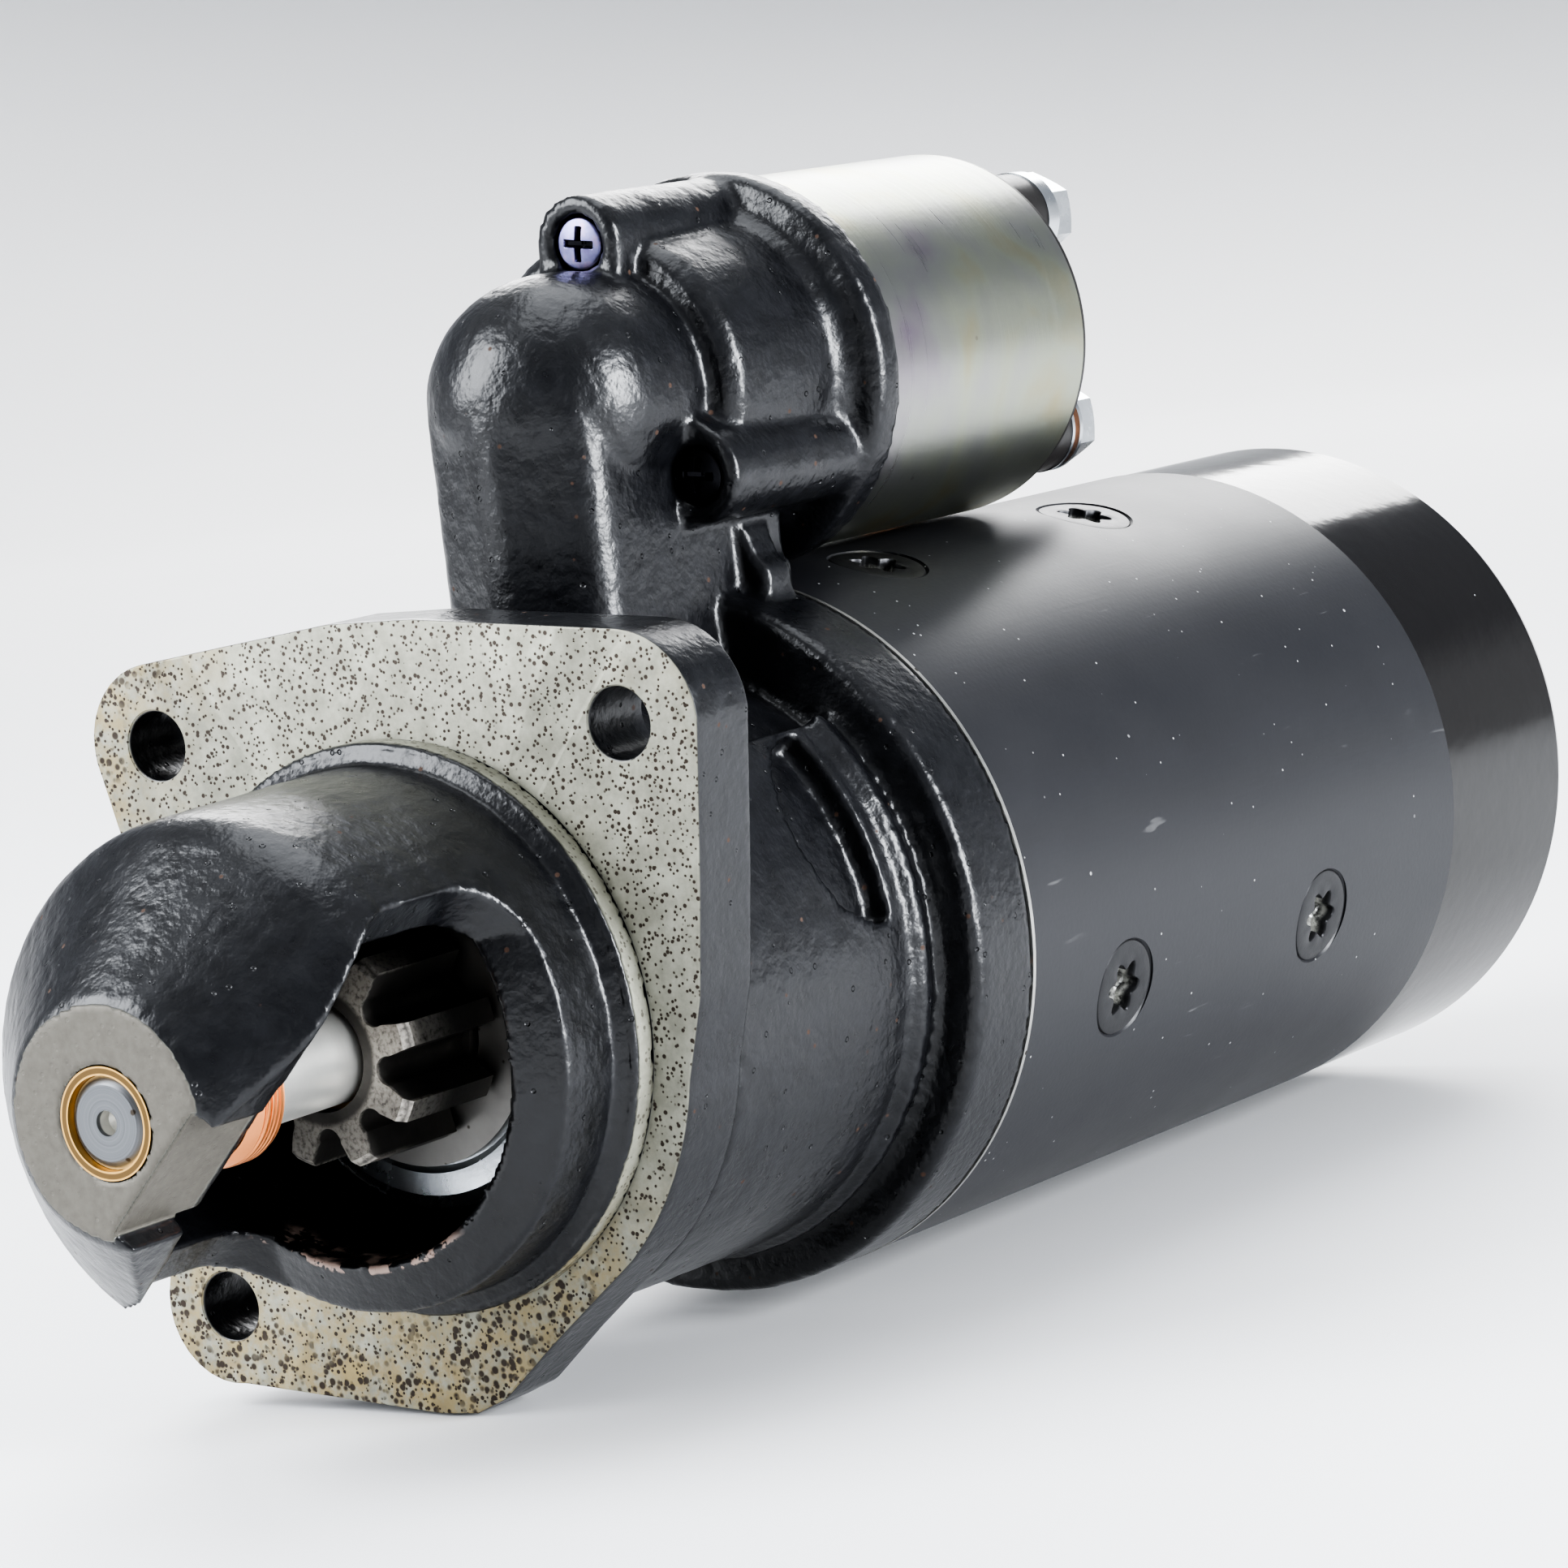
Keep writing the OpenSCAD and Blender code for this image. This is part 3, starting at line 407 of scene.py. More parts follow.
def ground_steel():
    """Smooth ground steel; the shaft's end face is dull and grey between turned rings."""
    f = Finish("ground_steel", metallic=0.8)
    fine, cloud = f.noise(1, 3, 0.6, f.stretched(5000, 90, 90)), f.noise(120, 4, 0.6)
    end = f.span(f.x, -0.0720, -0.0724)
    rings = f.noise(1, 2, 0.5, f.node("ShaderNodeCombineXYZ", {}, {0: f.r * 3200}))
    base = f.mix(cloud * 0.6 + fine * 0.4, (0.62, 0.615, 0.58), (0.80, 0.79, 0.75))
    base = f.mix(end, base, f.mix(rings, (0.075, 0.08, 0.085), (0.20, 0.205, 0.215)))
    f.set(base_color=f.mix(f.specks(700, 0.4, 0.012), base, SPOT),
          roughness=0.34 + (fine - 0.5) * 0.06 + end * 0.08)
    return f.bump(fine * 0.12 + rings * end, 0.00002)


def blackened_screw():
    """Blackened steel with a recess and rim worn bright."""
    f = Finish("blackened_screw", metallic=0.7)
    cloud = f.noise(500, 4, 0.65)
    worn = f.span(f.r, 0.0571, 0.0560) * f.span(cloud, 0.35, 0.6)
    f.set(base_color=f.mix(worn, f.mix(cloud, (0.02, 0.02, 0.022), (0.05, 0.05, 0.052)), (0.5, 0.5, 0.47)),
          roughness=0.32 + cloud * 0.15)
    return f.bump(cloud, 0.00005)


def zinc_blue():
    """Screws: the top one violet-blue zinc, with painted shade, black, in its cross recess and on its head's
    side; the lower two black.
    """
    f = Finish("zinc_blue", metallic=1.0)
    cloud = f.noise(420, 3, 0.6)
    top = f.span(f.z, 0.104, 0.106)
    # painted shade: the top screw turns black deeper than about 1 mm below its top, in the cross recess and
    # down the head's side
    recess = f.span(f.x, 0.0631, 0.0634)
    black = f.mix(cloud, (0.018, 0.018, 0.021), (0.04, 0.04, 0.046))
    violet = f.ramp(cloud, (0.3, (0.13, 0.115, 0.235)), (0.5, (0.17, 0.17, 0.30)), (0.68, (0.27, 0.20, 0.30)))
    f.set(base_color=f.mix(top * (1 - recess), black, violet), roughness=0.26 + cloud * 0.14)
    return f.bump(cloud, 0.00003)


FINISHES = [
    casting_paint(), yoke_paint(), cover_paint(), zinc_yellow(),
    gear_steel(), blackened_screw(), zinc_blue(), bush_bronze(),
    metal("collar_bronze", (0.56, 0.20, 0.075), (0.74, 0.33, 0.15), 0.34),
    metal("brass", (0.50, 0.36, 0.15), (0.72, 0.56, 0.28), 0.34),
    metal("copper", (0.34, 0.15, 0.08), (0.62, 0.31, 0.18), 0.36, specks=0.06),
    metal("winding_copper", (0.20, 0.06, 0.025), (0.42, 0.15, 0.06), 0.32),
    metal("plate_steel", (0.40, 0.40, 0.38), (0.58, 0.57, 0.54), 0.38, specks=0.03),
    ground_steel(),
    metal("cover_washer", (0.26, 0.25, 0.235), (0.42, 0.41, 0.39), 0.42, specks=0.05),
    metal("pole_iron", (0.10, 0.10, 0.098), (0.19, 0.185, 0.18), 0.5, specks=0.08, spot=RUST),
    metal("lever_iron", (0.07, 0.07, 0.072), (0.14, 0.14, 0.14), 0.5, depth=0.0002),
    metal("spring_steel", (0.16, 0.165, 0.17), (0.30, 0.30, 0.31), 0.3),
    metal("zinc", (0.52, 0.55, 0.58), (0.74, 0.77, 0.80), 0.26, grain=300),
    plain("rubber", (0.012, 0.012, 0.012), (0.024, 0.023, 0.022), 0.6),
    plain("cap_plastic", (0.010, 0.009, 0.009), (0.020, 0.018, 0.017), 0.34),
    plain("bobbin_plastic", (0.05, 0.035, 0.018), (0.10, 0.07, 0.035), 0.5),
    plain("carbon", (0.02, 0.02, 0.02), (0.045, 0.043, 0.042), 0.55),
]
finishes = {f.name: f.material for f in FINISHES}


def dress(piece, finish):
    """Gives a piece one finish."""
    piece.data.materials.clear()
    piece.data.materials.append(finishes[finish])
    return piece


NODE_FINISH = {
    "casting_paint": ["drive_end_housing"],
    "yoke_paint": ["yoke"],
    "cover_paint": ["rear_cover"],
    "bronze": ["nose_bush", "center_bush", "rear_bush", "pinion_bush"],
    "collar_bronze": ["stop_collar"],
    "brass": ["brush_boxes", "switch_terminal", "guide_ring"],
    "copper": ["battery_stud", "motor_stud", "motor_lead", "contact_disc", "commutator"],
    "winding_copper": ["field_coils", "armature_windings", "solenoid_coil"],
    "plate_steel": ["center_plate", "brush_plate", "solenoid_plate", "thrust_washers"],
    "ground_steel": ["armature_shaft", "drive_sleeve", "clutch_rollers", "lever_pin",
                     "plunger", "plunger_pin", "contact_rod", "solenoid_core"],
    "gear_steel": ["pinion"],
    "cover_washer": ["clutch_cover", "stop_ring", "sleeve_ring"],
    "pole_iron": ["pole_shoes", "armature_core"],
    "lever_iron": ["fork_lever"],
    "blackened_screw": ["pole_screws"],
    "spring_steel": ["brush_springs", "return_spring", "contact_spring", "meshing_spring"],
    "zinc": ["through_bolts", "terminal_nuts", "terminal_washers", "clutch_housing"],
    "zinc_blue": ["solenoid_screws"],
    "zinc_yellow": ["solenoid_case"],
    "rubber": ["lead_grommet", "solenoid_gasket"],
    "cap_plastic": ["solenoid_cap"],
    "bobbin_plastic": ["solenoid_bobbin"],
    "carbon": ["brush_1", "brush_2", "brush_3", "brush_4"],
}
for finish, names in NODE_FINISH.items():
    for name in names:
        dress(nodes[name], finish)

# ---- shapes worked out as arrays ----


def turns(count):
    """Even angles round one turn."""
    return np.arange(count) * 2 * np.pi / count


def read(items, key, width, kind=float):
    """A property of a mesh's vertices, loops or edges as an array with width columns."""
    values = np.empty(len(items) * width, kind)
    items.foreach_get(key, values)
    return values.reshape(-1, width)


def solid_mesh(name, points, faces):
    """A smooth mesh of points in metres and faces given as an array of rows of corner numbers."""
    mesh = bpy.data.meshes.new(name)
    corners = faces.shape[1]
    mesh.vertices.add(len(points))
    mesh.vertices.foreach_set("co", np.asarray(points, np.float32).ravel())
    mesh.loops.add(faces.size)
    mesh.loops.foreach_set("vertex_index", faces.astype(np.int32).ravel())
    mesh.polygons.add(len(faces))
    mesh.polygons.foreach_set("loop_start", np.arange(0, faces.size, corners, dtype=np.int32))
    mesh.update(calc_edges=True)
    mesh.shade_smooth()
    return mesh


def merge_close(mesh, distance):
    """Makes one point of those that lie within a distance of each other."""
    merged = bmesh.new()
    merged.from_mesh(mesh)
    bmesh.ops.remove_doubles(merged, verts=merged.verts, dist=distance)
    merged.to_mesh(mesh)
    merged.free()


def grid_mesh(name, *grids, along=False):
    """A mesh of one or more grids points[i, j], closed along j, and along i too when along is set.
    Points that meet are merged, which closes the poles."""
    points, quads, start = [], [], 0
    for grid in grids:
        rows, columns = grid.shape[:2]
        i, j = np.meshgrid(np.arange(rows if along else rows - 1), np.arange(columns), indexing="ij")
        i2, j2 = (i + 1) % rows, (j + 1) % columns
        corners = np.stack([i * columns + j, i * columns + j2, i2 * columns + j2, i2 * columns + j], -1)
        quads.append(start + corners.reshape(-1, 4))
        points.append(grid.reshape(-1, 3))
        start += rows * columns
    mesh = solid_mesh(name, np.concatenate(points), np.concatenate(quads))
    merge_close(mesh, 1e-7)
    mesh.set_sharp_from_angle(angle=math.radians(32))
    return mesh


def finished_mesh(piece):
    """A mesh of the piece as its modifiers leave it."""
    return bpy.data.meshes.new_from_object(piece.evaluated_get(bpy.context.evaluated_depsgraph_get()))


def combined(piece, operation, other):
    """A mesh of the piece after a boolean operation with another."""
    step = piece.modifiers.new("combine", "BOOLEAN")
    step.operation, step.solver, step.object = operation, "EXACT", other
    made = finished_mesh(piece)
    piece.modifiers.clear()
    return made


def wrapped(node, voxel, low, high):
    """The CAD node's part between x = low and x = high as one skin of even quads that lie on its faces."""
    mesh = nodes[node].data.copy()
    merge_close(mesh, 2e-6)
    whole = in_scene("wrapped_whole", mesh)
    reach = 0.3
    corners = np.array([(x, y, z) for x in (low, high) for y in (-reach, reach) for z in (-reach, reach)])
    sides = np.array([(0, 1, 3, 2), (4, 6, 7, 5), (0, 4, 5, 1), (2, 3, 7, 6), (0, 2, 6, 4), (1, 5, 7, 3)])
    block = in_scene("wrapped_block", solid_mesh("wrapped_block", corners, sides))
    part = in_scene("wrapped_part", combined(whole, "INTERSECT", block))
    skin = in_scene("wrapped_skin", part.data.copy())
    even = skin.modifiers.new("even", "REMESH")
    even.mode, even.voxel_size, even.adaptivity = "VOXEL", voxel, 0
    hold = skin.modifiers.new("hold", "SHRINKWRAP")
    hold.wrap_method, hold.target = "NEAREST_SURFACEPOINT", part
    made = finished_mesh(skin)
    for spent in (whole, block, part, skin):
        bpy.data.objects.remove(spent)
    quads = read(made.loops, "vertex_index", 1, int).reshape(-1, 4)
    return read(made.vertices, "co", 3), quads, read(made.edges, "vertices", 2, int)


STEP_IN, STEP_OUT = 0.55, -0.57     # the two steps of a round of softening; the one out is the longer
SOFTEN_ROUNDS = 5


def relax(points, edges, free):
    """Moves each point towards the mean of its neighbours and then back out, in turns, so that edges
    round off and the size stays. Free, 0 to 1, is the share of the move that a point takes."""
    first, second, many = edges[:, 0], edges[:, 1], len(points)
    around = np.bincount(edges.ravel(), minlength=many)[:, None]
    for step in (STEP_IN, STEP_OUT) * SOFTEN_ROUNDS:
        total = np.stack([np.bincount(first, points[second, axis], many)
                          + np.bincount(second, points[first, axis], many) for axis in range(3)], 1)
        points = points + step * free[:, None] * (total / around - points)
    return points


def unevenness(points, short, long, waves, seed):
    """Sum of sine waves in random directions, their lengths between short and long, about -1 to 1."""
    draw = np.random.default_rng(seed)
    way = draw.normal(size=(waves, 3))
    way *= 2 * np.pi / np.linalg.norm(way, axis=1, keepdims=True) / draw.uniform(short, long, (waves, 1))
    return np.sin(points @ way.T + draw.uniform(0, 2 * np.pi, waves)).sum(1) / (waves / 2) ** 0.5 / 2


def machined(points, near):
    """Pulls points that lie within near of a machined face onto it: planes across X, the boss flat, and
    round faces about X. Returns the points and which of them were pulled."""
    x, y, z = points.T
    r, side, along = np.hypot(y, z), -(y + z) * LEAN, np.abs(y - z) * LEAN
    on = np.zeros(len(points), bool)
    points = points.copy()
    planes = [(-73.3, r < 17.5 * MM),                       # the boss face
              (-5, (r > 41.8 * MM) & (r < 44.2 * MM)),      # the pilot's front edge
              (85, r > 40 * MM)]                            # the rear face, at the yoke
    for plane, where in planes:
        hit = where & (np.abs(x - plane * MM) < near)
        points[hit, 0] = plane * MM
        on |= hit
    flat = 10.7 * MM
    hit = (np.abs(side - flat) < near) & (x < -55 * MM) & (along < 12.4 * MM)
    points[hit, 1:] -= ((flat - side[hit]) * LEAN)[:, None]
    on |= hit
    rounds = [(8.4, -74, -54),          # the bush's bore
              (44.45, -4.6, -0.2),      # the pilot
              (58.25, 71, 84.5)]        # the rear band
    for radius, low, high in rounds:
        hit = (np.abs(r - radius * MM) < near) & (x > low * MM) & (x < high * MM)
        points[hit, 1:] *= (radius * MM / r[hit])[:, None]
        on |= hit
    return points, on


def cast_piece(name, voxel, low, high, swell):
    """Part of the housing as it is cast: softened edges and an uneven skin between machined faces."""
    points, quads, edges = wrapped("drive_end_housing", voxel, low, high)
    points, on = machined(points, 0.3 * MM)
    free = np.where(on, 0.0, 1.0)
    points = relax(points, edges, free)
    mesh = solid_mesh(name, points, quads)
    coarse, fine = unevenness(points, 5 * MM, 16 * MM, 50, 4), unevenness(points, 2.4 * MM, 5 * MM, 60, 9)
    height = (coarse * 0.6 + fine * 0.4) * free * swell
    points = points + read(mesh.vertices, "normal", 3, np.float32) * height[:, None]
    mesh.vertices.foreach_set("co", points.astype(np.float32).ravel())
    mesh.update()
    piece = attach(dress(in_scene(name, mesh), "casting_paint"), "housing")
    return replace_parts(piece, "drive_end_housing")


def flange_outline(count):
    """The outline of the CAD's flange face as angles about X and distances from it, at even steps along
    the edge. The points of the holes and of the pilot are left out."""
    points = read(nodes["drive_end_housing"].data.vertices, "co", 3)
    front = points[(np.abs(points[:, 0]) < 1e-6) & (np.hypot(points[:, 1], points[:, 2]) > 46 * MM)]
    for y, z in FLANGE_HOLES:
        front = front[np.hypot(front[:, 1] - y, front[:, 2] - z) > 6 * MM]
    angle, far = np.arctan2(front[:, 2], front[:, 1]), np.hypot(front[:, 1], front[:, 2])
    order = np.argsort(angle)
    y, z = far[order] * np.cos(angle[order]), far[order] * np.sin(angle[order])
    y, z = np.append(y, y[0]), np.append(z, z[0])
    along = np.append(0, np.cumsum(np.hypot(np.diff(y), np.diff(z))))
    steps = np.linspace(0, along[-1], count + 1)[:-1]
    y, z = np.interp(steps, along, y), np.interp(steps, along, z)
    return np.arctan2(z, y), np.hypot(y, z)


def hole_drill(y, z):
    """A rod for one flange hole: 5.5 mm in radius, 0.4 mm wider in a bevel at both faces."""
    ring = turns(64)
    radius, bevel, thick = 5.5, 0.4, FLANGE_DEPTH / MM
    wide = radius + bevel
    rows = [(-1, 0.001), (-1, wide), (0, wide), (bevel, radius), (thick - bevel, radius), (thick, wide),
            (thick + 1, wide), (thick + 1, 0.001)]
    rod = np.stack([np.stack([np.full_like(ring, x * MM), y + r * MM * np.cos(ring), z + r * MM * np.sin(ring)],
                             -1) for x, r in rows])
    return in_scene("drill", grid_mesh("drill", rod, along=True))


def cast_flange():
    """The flange: its outline, a distance at each angle, carried along a profile from the bore over the
    face and the softened rim to the back, with three holes."""
    turn, rim = flange_outline(480)
    bore = np.full_like(rim, 33 * MM)
    soft = 0.9 * MM
    rows = [(FLANGE_DEPTH, bore), (0, bore), (0, rim - 0.35 * MM), (0.12 * MM, rim - 0.1 * MM), (0.4 * MM, rim)]
    rows += [(x * MM, rim) for x in np.linspace(2, 12, 6)]
    rows += [(FLANGE_DEPTH - soft * (1 - np.sin(a)), rim - soft * (1 - np.cos(a)))
             for a in np.radians((0, 25, 50, 70, 90))]
    plate = np.stack([np.stack([np.full_like(rim, x), r * np.cos(turn), r * np.sin(turn)], -1)
                      for x, r in rows])
    piece = in_scene("cast_flange", grid_mesh("cast_flange", plate, along=True))
    for hole in FLANGE_HOLES:
        drill = hole_drill(*hole)
        piece.data = combined(piece, "DIFFERENCE", drill)
        bpy.data.objects.remove(drill)
    piece.data.shade_smooth()
    piece.data.set_sharp_from_angle(angle=math.radians(28))
    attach(dress(piece, "casting_paint"), "housing")
    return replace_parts(piece, "drive_end_housing")


cast_piece("cast_nose", 0.75 * MM, -90 * MM, -0.3 * MM, 0.09 * MM)
cast_flange()
cast_piece("cast_frame", 1.1 * MM, FLANGE_DEPTH + 0.05 * MM, 200 * MM, 0.13 * MM)

# ---- screws, nuts, studs, collar and springs ----


def fitted(name, mesh, finish, body, *stands_for):
    """A piece in its finish that rides on a body and stands for CAD nodes."""
    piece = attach(dress(in_scene(name, mesh), finish), body)
    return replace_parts(piece, *stands_for)


def about_axis(radius, height):
    """Points at a radius[i, j] and height[i, j] round an axis, j running once round; last index u, v, h."""
    radius, height = np.broadcast_arrays(np.asarray(radius, float), np.asarray(height, float))
    turn = turns(radius.shape[1])
    return np.stack([radius * np.cos(turn), radius * np.sin(turn), height], -1)


def profile_round(rows, columns):
    """A profile of (radius, height) rows carried round an axis; a radius may be an array along the turn."""
    radius = np.array([np.broadcast_to(r, columns) for r, h in rows], float)
    return about_axis(radius, np.array([h for r, h in rows], float)[:, None])


def set_at(points, at, u, v, h):
    """Points in u, v, h, in millimetres, put at a place in the frame with those three directions."""
    return np.asarray(at) + points @ np.array([u, v, h], float) * MM


def pole_screws():
    """Countersunk heads whose tops follow the tube, with a six-lobed recess: the lobe's radius is
    3.9 + 0.8 cos of six times the turn, and every height is measured from the tube's curve."""
    columns, top_radius = 120, 58.1
    lobe = 3.9 + 0.8 * np.cos(6 * turns(columns))
    shank = [(0, -15.4), (5, -15.4), (5, -4.5)]
    rim = [(8.0, -0.9), (8.2, -0.6), (8.2, -0.3), (8.0, -0.06), (7.7, 0), (6.4, -0.02)]
    recess = [(lobe + 0.5, -0.02), (lobe + 0.2, -0.08), (lobe, -0.32), (lobe - 0.05, -1.5),
              (lobe - 0.15, -3.0), (lobe - 0.6, -3.3), (0, -3.4)]
    head = profile_round(shank + rim + recess, columns)
    head[..., 2] += np.sqrt(top_radius ** 2 - head[..., 1] ** 2)
    grids = []
    for angle in POLE_TURNS:
        out, across = (0, -math.sin(angle), math.cos(angle)), (0, math.cos(angle), math.sin(angle))
        for x in (115.2, 181.8):
            grids.append(set_at(head, (x * MM, 0, 0), (1, 0, 0), across, out))
    mesh = grid_mesh("pole_screw_heads", *grids)
    fitted("pole_screw_heads", mesh, "blackened_screw", "housing", "pole_screws")


def solenoid_screws():
    """Shallow domed heads: the dome falls by the square of the radius, and two crossed arms are cut
    into it, each with steep sides and a floor that rises outwards."""
    columns, rim, bolt_circle = 144, 4.3, 24.4
    radius = np.concatenate([[rim, rim, 4.2, 4.0], np.linspace(3.8, 0, 40)])[:, None] * np.ones((1, columns))
    turn = turns(columns)
    u, v = radius * np.cos(turn), radius * np.sin(turn)

    def arm(along, across):
        sides = np.clip((0.62 - np.abs(across)) / 0.22, 0, 1)
        ends = np.clip((2.85 - np.abs(along)) / 0.25, 0, 1)
        return sides * ends * (2.1 - 0.45 * np.abs(along))

    height = -0.5 * (radius / rim) ** 2 - np.maximum(arm(u, v), arm(v, u))
    height[0], height[1], height[2] = -3.1, -0.8, -0.58
    shank = profile_round([(0, -45.7), (2.2, -45.7), (2.5, -45.2), (2.5, -3.1)], columns)
    screw = np.concatenate([shank, about_axis(radius, height)])
    tip = math.radians(8)
    across = np.array((0, math.cos(tip), math.sin(tip)))
    grids = []
    for angle in np.radians((5, 125, 245)):
        y, z = -bolt_circle * MM * math.sin(angle), SOLENOID_Z + bolt_circle * MM * math.cos(angle)
        grids.append(set_at(screw, (62.45 * MM, y, z), np.cross(across, (-1, 0, 0)), across, (-1, 0, 0)))
    mesh = grid_mesh("solenoid_screw_set", *grids)
    fitted("solenoid_screw_set", mesh, "zinc_blue", "housing", "solenoid_screws")


def hexagon_nut():
    """A nut on end, in millimetres: a hexagon cut by a cone at both ends, round a bevelled bore."""
    columns, flats, height, bore = 96, 6.5, 6.5, 4.02
    turn = turns(columns)
    hexagon = flats / np.cos((turn + math.pi / 6) % (math.pi / 3) - math.pi / 6)
    bevel = [(np.minimum(hexagon, 6.25 + 1.73 * depth), depth) for depth in (0, 0.12, 0.25, 0.4, 0.55, 0.75)]
    upper = [(radius, height - depth) for radius, depth in reversed(bevel)]
    rows = [(bore, 0.45), (4.45, 0), *bevel, *upper, (4.45, height), (bore, height - 0.45)]
    return profile_round(rows, columns)


def threaded_stud(front, rear):
    """A stud from front to rear, in millimetres, with a rolled thread: a ridge of triangles that climbs
    one pitch a turn and runs out in a cone at the rear."""
    columns, pitch, crest, shoulder = 48, 1.25, 3.98, 5.2
    x = np.arange(front + 11.5, rear - 0.1, pitch / 10)[:, None]
    wind = np.arange(columns) / columns
    ridge = crest - 0.62 * np.abs(2 * ((x / pitch - wind) % 1) - 1) * 0.5
    thread = about_axis(np.minimum(ridge, 3.1 + (rear - 0.1 - x) * 0.9), x)
    body = profile_round([(0, front), (4.9, front), (shoulder, front + 0.3), (shoulder, front + 7.2),
                          (crest, front + 7.2), (crest, front + 11.4)], columns)
    end = profile_round([(2.9, rear - 0.05), (0, rear)], columns)
    return np.concatenate([body, thread, end])


def terminals():
    """Both studs with their nuts, where the CAD's stand."""
    front, rear = (corner.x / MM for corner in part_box("battery_stud"))
    stud, nut = threaded_stud(front, rear), hexagon_nut()
    nuts = []
    for name in ("battery_stud", "motor_stud"):
        low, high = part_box(name)
        at = np.array((0, low.y + high.y, low.z + high.z)) / 2
        mesh = grid_mesh(name, set_at(stud, at, (0, 1, 0), (0, 0, 1), (1, 0, 0)))
        fitted(name + "_threaded", mesh, "copper", "housing", name)
        at[0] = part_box("terminal_nuts")[0].x
        nuts.append(set_at(nut, at, (0, 1, 0), (0, 0, 1), (1, 0, 0)))
    fitted("hexagon_nuts", grid_mesh("hexagon_nuts", *nuts, along=True), "zinc", "housing", "terminal_nuts")


def collar():
    """The turned collar behind the boss. Four narrow grooves are cut in its rim, where a cosine along the
    axis, one period to a groove, is near its top."""
    bore, outer, groove, pitch = 7.82, 11.55, 0.32, 0.92
    x = np.linspace(-50.6, -46.9, 45)
    rim = outer - groove * np.clip(np.cos((x + 50.6) / pitch * 2 * np.pi) * 1.6 - 0.5, 0, 1)
    cone = [(10.2, -53), (10.5, -52.8), (11.4, -51.1)]
    rows = [(bore, -53), *cone, *zip(rim, x), (11.3, -46.5), (bore, -46.5)]
    ring = set_at(profile_round(rows, 128), (0, 0, 0), (0, 1, 0), (0, 0, 1), (1, 0, 0))
    mesh = grid_mesh("grooved_collar", ring, along=True)
    fitted("grooved_collar", mesh, "collar_bronze", "armature", "stop_collar")


def spring(low, high, mean, wire, coils):
    """A round wire on a helix of a mean radius from height low to high: the first and last coil climb
    one wire, the rest evenly, and the wire's circle, its radius given, shrinks to a point at both ends."""
    t = np.linspace(0, coils, coils * 40 + 1)
    middle = (high - low - 6.3 * wire) / (coils - 2)
    climb = low + wire + np.interp(t, [0, 1, coils - 1, coils],
                                   np.cumsum([0, 2.15 * wire, middle * (coils - 2), 2.15 * wire]))
    thick = wire * np.sqrt(np.clip(np.minimum(t, coils - t) * 12, 0, 1))[:, None]
    turn = turns(12)
    far = mean + thick * np.cos(turn)
    angle = t[:, None] * 2 * np.pi
    return np.stack([far * np.cos(angle), far * np.sin(angle), climb[:, None] - thick * np.sin(turn)], -1)


def springs():
    """True coils for the CAD's springs, each wound between given heights along its axis."""
    def add(name, node, body, at, directions, *sizes):
        grid = set_at(spring(*sizes), at, *directions)
        return fitted(name, grid_mesh(name, grid), "spring_steel", body, node)

    ahead = ((0, 1, 0), (0, 0, 1), (1, 0, 0))
    add("meshing_coil", "meshing_spring", "drive", (0, 0, 0), ahead, 24, 58, 13.6, 1.5, 7)
    above = (0, 0, SOLENOID_Z)
    returns = add("return_coil", "return_spring", "housing", above, ahead, 78.5, 101.2, 14.2, 0.8, 6)
    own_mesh(returns)
    contact = add("contact_coil", "contact_spring", "housing", above, ahead, 162.4, 173, 4.6, 0.5, 6)
    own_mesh(contact)
    brush_x, brush_top = 239.5 * MM, 47
    for angle, letter in zip(POLE_TURNS, "abcd"):
        out = np.array((0, -math.sin(angle), math.cos(angle)))
        outward = ((1, 0, 0), np.cross(out, (1, 0, 0)), out)
        coil = add(f"brush_coil_{letter}", "brush_springs", "housing", (brush_x, 0, 0), outward,
                   40, brush_top, 4.5, 0.45, 4)
        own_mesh(coil)


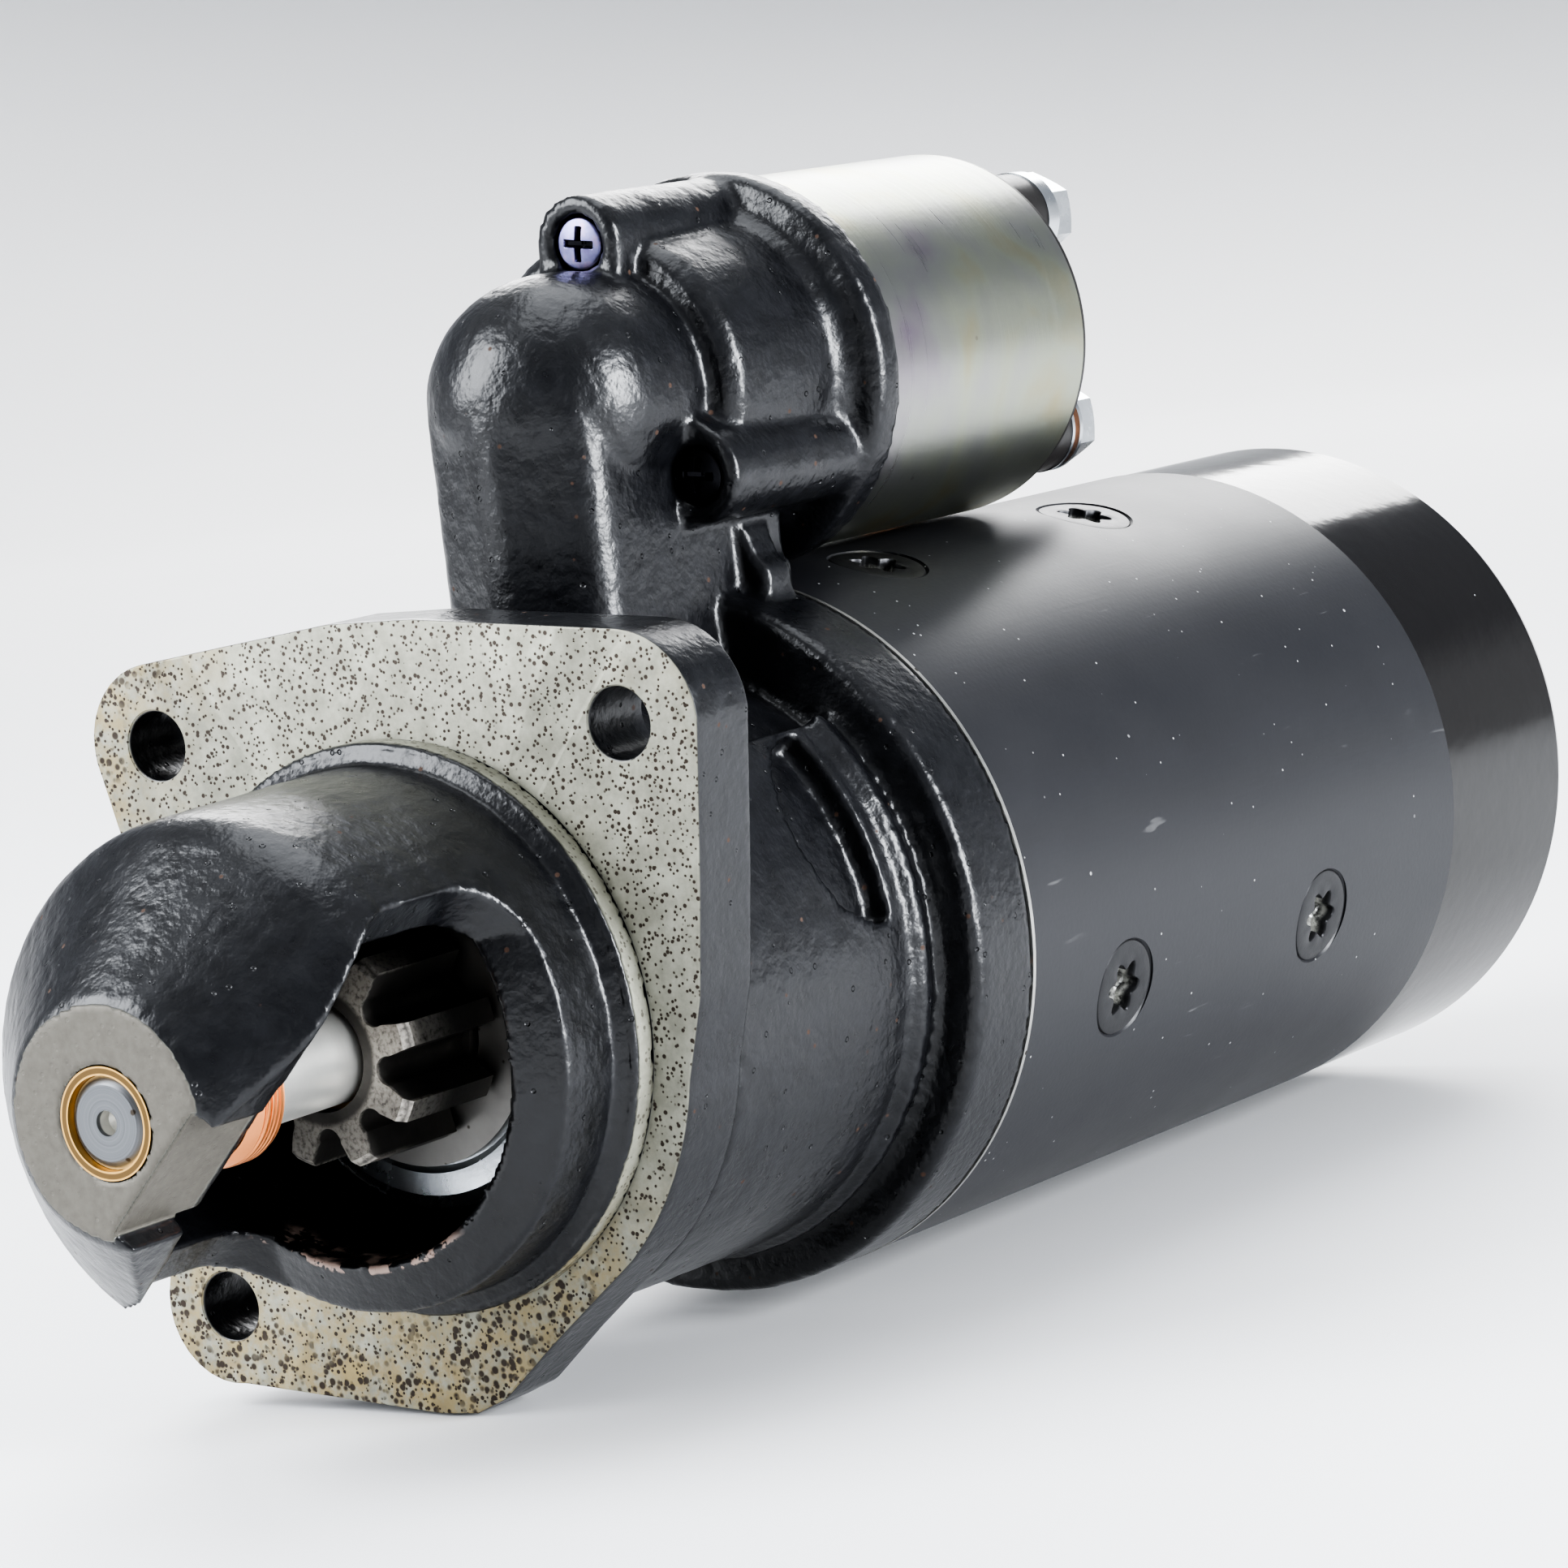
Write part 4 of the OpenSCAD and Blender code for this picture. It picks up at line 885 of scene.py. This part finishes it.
pole_screws()
solenoid_screws()
terminals()
collar()
springs()

# ---- floor and light ----


def add_floor():
    """A pale bowl: flat out to 2.4 m, then an arc of 1.5 m radius up to a rim, turned about Z; its wall is
    painted grey from 0.55 m up as painted shade, so glossy parts reflect a dim surround.
    """
    reach, bend, columns, middle_x = 2.4, 1.5, 96, 0.1
    under = cad_box[0].z - 0.0004
    flat = np.stack([np.array([1e-4, 0.6, 1.2, 1.8, reach]), np.zeros(5)], 1)
    rise = np.radians(np.linspace(0, 90, 25)[1:])
    arc = np.stack([reach + bend * np.sin(rise), bend - bend * np.cos(rise)], 1)
    far, height = np.concatenate([flat, arc, [(reach + bend, 2 * bend)]]).T[:, :, None]
    turn = turns(columns)
    x, y = far * np.cos(turn) + middle_x, far * np.sin(turn)
    floor = in_scene("floor", grid_mesh("floor", np.stack(np.broadcast_arrays(x, y, height + under), -1)))
    f = Finish("pale_floor", roughness=0.62)
    pale = f.mix(f.noise(6, 2), (0.84, 0.84, 0.845), (0.87, 0.87, 0.875))
    # painted shade: the bowl's wall turns grey between 0.55 m and 1.3 m up, as if the light fell off there
    f.set(base_color=f.mix(f.span(f.z, 0.55, 1.3), pale, (0.4, 0.41, 0.43)))
    finishes["pale_floor"] = f.material
    dress(floor, "pale_floor")


def add_world(strength):
    """Even daylight from all round."""
    world = bpy.data.worlds.new("studio")
    bpy.context.scene.world = world
    world.use_nodes = True
    sky = world.node_tree.nodes["Background"].inputs
    sky["Color"].default_value = (*DAYLIGHT, 1)
    sky["Strength"].default_value = strength


add_floor()
add_world(0.6)
add_light("key", -1.2, 0.5, 0.4, (0.9, 1.1), 36, DAYLIGHT)
add_light("top", -0.1, 1.4, -0.1, (0.9, 1.5), 12, DAYLIGHT)
add_light("right", 1.2, 0.36, 0.7, (0.45, 0.8), 42, DAYLIGHT)
add_light("backdrop", 0.3, 1.5, -1.6, (2.0, 1.0), 50, middle=(0.6, 0.5, 0))
bpy.context.scene.view_settings.look = "AgX - High Contrast"
